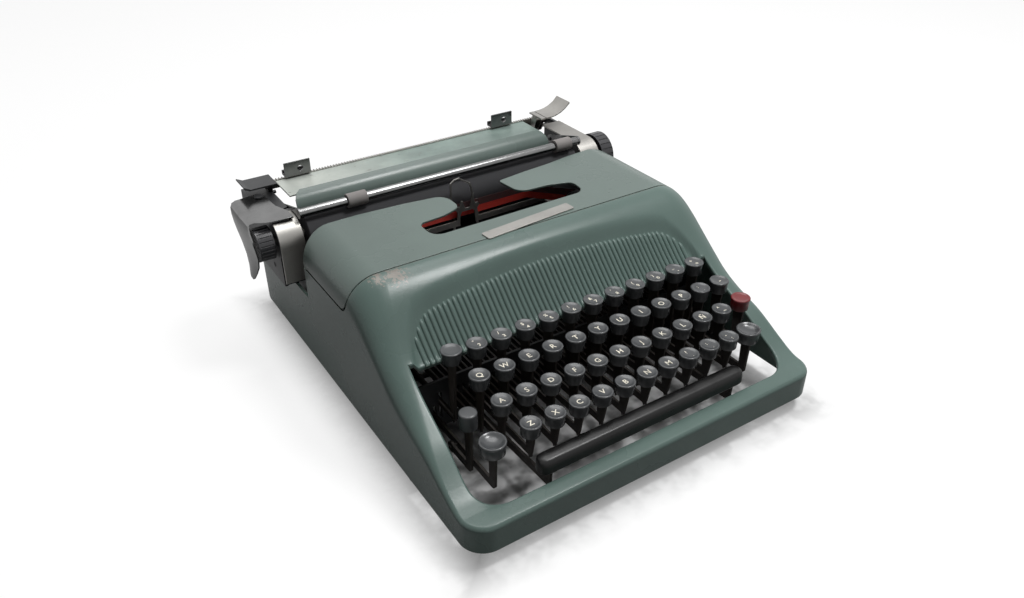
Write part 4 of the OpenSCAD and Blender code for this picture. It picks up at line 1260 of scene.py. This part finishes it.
class TYPEWRITER_OT_paper_table(MakePiece, bpy.types.Operator):
    """Bend the enamelled paper table back behind the platen"""

    bl_idname = "typewriter.paper_table"
    bl_label = "Paper table"

    def execute(self, context):
        first, last = extent("paper_table")[:2]
        top = 123.8
        corner = 7.0
        # Bend of the table as [distance behind its front, z]
        section = [(0.8, first.z), (0.8, 104), (1.2, 110), (2.6, 115.5), (5.2, 119.5), (9, 122.4), (12.6, top)]
        patch = Patchwork()
        grid = []
        for back, z in section:
            inset = fall(corner, max(0.0, z - (top - corner)))
            grid.append([(x, first.y + back, z) for x in spread(first.x + inset, last.x - inset, 24)])
        patch.grid(grid)
        table = patch.shape("paper_table_sheet")
        thicken(table, 1.4, offset=0)
        soften(table, 0.2, angle=50)
        finish(table, BODY_OF["paper_table"], "table_paint", enamel_cover(), "paper_table")
        return {"FINISHED"}


class TYPEWRITER_OT_ribbon(MakePiece, bpy.types.Operator):
    """Ink the two-colour ribbon"""

    bl_idname = "typewriter.ribbon"
    bl_label = "Ribbon"

    def execute(self, context):
        paint = ink_ribbon("ribbon_ink", (0.012, 0.011, 0.012), works().ribbon_red, extent("ribbon")[2].z)
        obj = dress("ribbon", "ribbon_cloth", paint, 0.0)
        obj.name = "ribbon_cloth"
        return {"FINISHED"}


class TYPEWRITER_OT_stage(MakePiece, bpy.types.Operator):
    """Lay the pale floor and hang the soft lights"""

    bl_idname = "typewriter.stage"
    bl_label = "Stage"

    def execute(self, context):
        stage = context.scene.typewriter_stage
        half_size = 6.0
        mesh = bpy.data.meshes.new("floor")
        corners = [(x * half_size, y * half_size, 0) for x, y in ((-1, -1), (1, -1), (1, 1), (-1, 1))]
        mesh.from_pydata(corners, [], [(0, 1, 2, 3)])
        floor = new_object("floor", mesh)
        floor.data.materials.append(floor_paper("paper_floor"))
        lamps = [("key_light", (0.3, 0.45, 1.6), (0.0, 0.05, 0.0), 1.0, stage.key_power),
                 ("crest_light", (0.58, -0.3, 1.55), (0.0, -0.03, 0.1), 0.4, stage.key_power * 1.25)]
        for name, place, aim, width, power in lamps:
            lamp = bpy.data.lights.new(name, "AREA")
            lamp.shape = "DISK"
            lamp.size = width
            lamp.energy = power
            obj = new_object(name, lamp)
            obj.location = place
            obj.rotation_euler = (Vector(aim) - Vector(place)).to_track_quat("-Z", "Y").to_euler()
        world = bpy.data.worlds.new("studio")
        context.scene.world = world
        world.use_nodes = True
        s = Shader(world.node_tree)
        back = world.node_tree.nodes["Background"]
        back.inputs["Color"].default_value = (1.0, 1.0, 1.0, 1.0)
        path = s.node("ShaderNodeLightPath").outputs
        through = s.math("MAXIMUM", path["Is Glossy Ray"], path["Is Transmission Ray"])
        seen = s.math("MAXIMUM", path["Is Camera Ray"], through)
        s.put(back, "Strength", s.math("ADD", stage.fill, s.math("MULTIPLY", seen, 1.0 - stage.fill)))
        context.scene.view_settings.view_transform = "Standard"
        return {"FINISHED"}


class TYPEWRITER_PT_panel(bpy.types.Panel):
    """Lists the settings and the steps in order"""

    bl_label = "Typewriter"
    bl_idname = "TYPEWRITER_PT_panel"
    bl_space_type = "VIEW_3D"
    bl_region_type = "UI"
    bl_category = "Typewriter"

    def draw(self, context):
        for name in GROUPS:
            owner = getattr(context.scene, name)
            for key in owner.bl_rna.properties.keys():
                if key not in ("rna_type", "name"):
                    self.layout.prop(owner, key)
        for operator in STEPS:
            self.layout.operator(operator.bl_idname)


GROUPS = {"typewriter_shell": TypewriterShell, "typewriter_keys": TypewriterKeys,
          "typewriter_carriage": TypewriterCarriage, "typewriter_stage": TypewriterStage}
STEPS = [TYPEWRITER_OT_camera, TYPEWRITER_OT_body, TYPEWRITER_OT_cover, TYPEWRITER_OT_keys,
         TYPEWRITER_OT_space_bar, TYPEWRITER_OT_works, TYPEWRITER_OT_return_lever,
         TYPEWRITER_OT_paper_table, TYPEWRITER_OT_ribbon, TYPEWRITER_OT_stage]


def register():
    for owner in list(GROUPS.values()) + STEPS + [TYPEWRITER_PT_panel]:
        bpy.utils.register_class(owner)
    for name, owner in GROUPS.items():
        setattr(bpy.types.Scene, name, bpy.props.PointerProperty(type=owner))


def unregister():
    for name in GROUPS:
        delattr(bpy.types.Scene, name)
    for owner in reversed(list(GROUPS.values()) + STEPS + [TYPEWRITER_PT_panel]):
        bpy.utils.unregister_class(owner)


def main():
    """Builds every piece in order."""
    register()
    for operator in STEPS:
        group_name, step_name = operator.bl_idname.split(".")
        getattr(getattr(bpy.ops, group_name), step_name)()


if __name__ == "__main__":
    main()
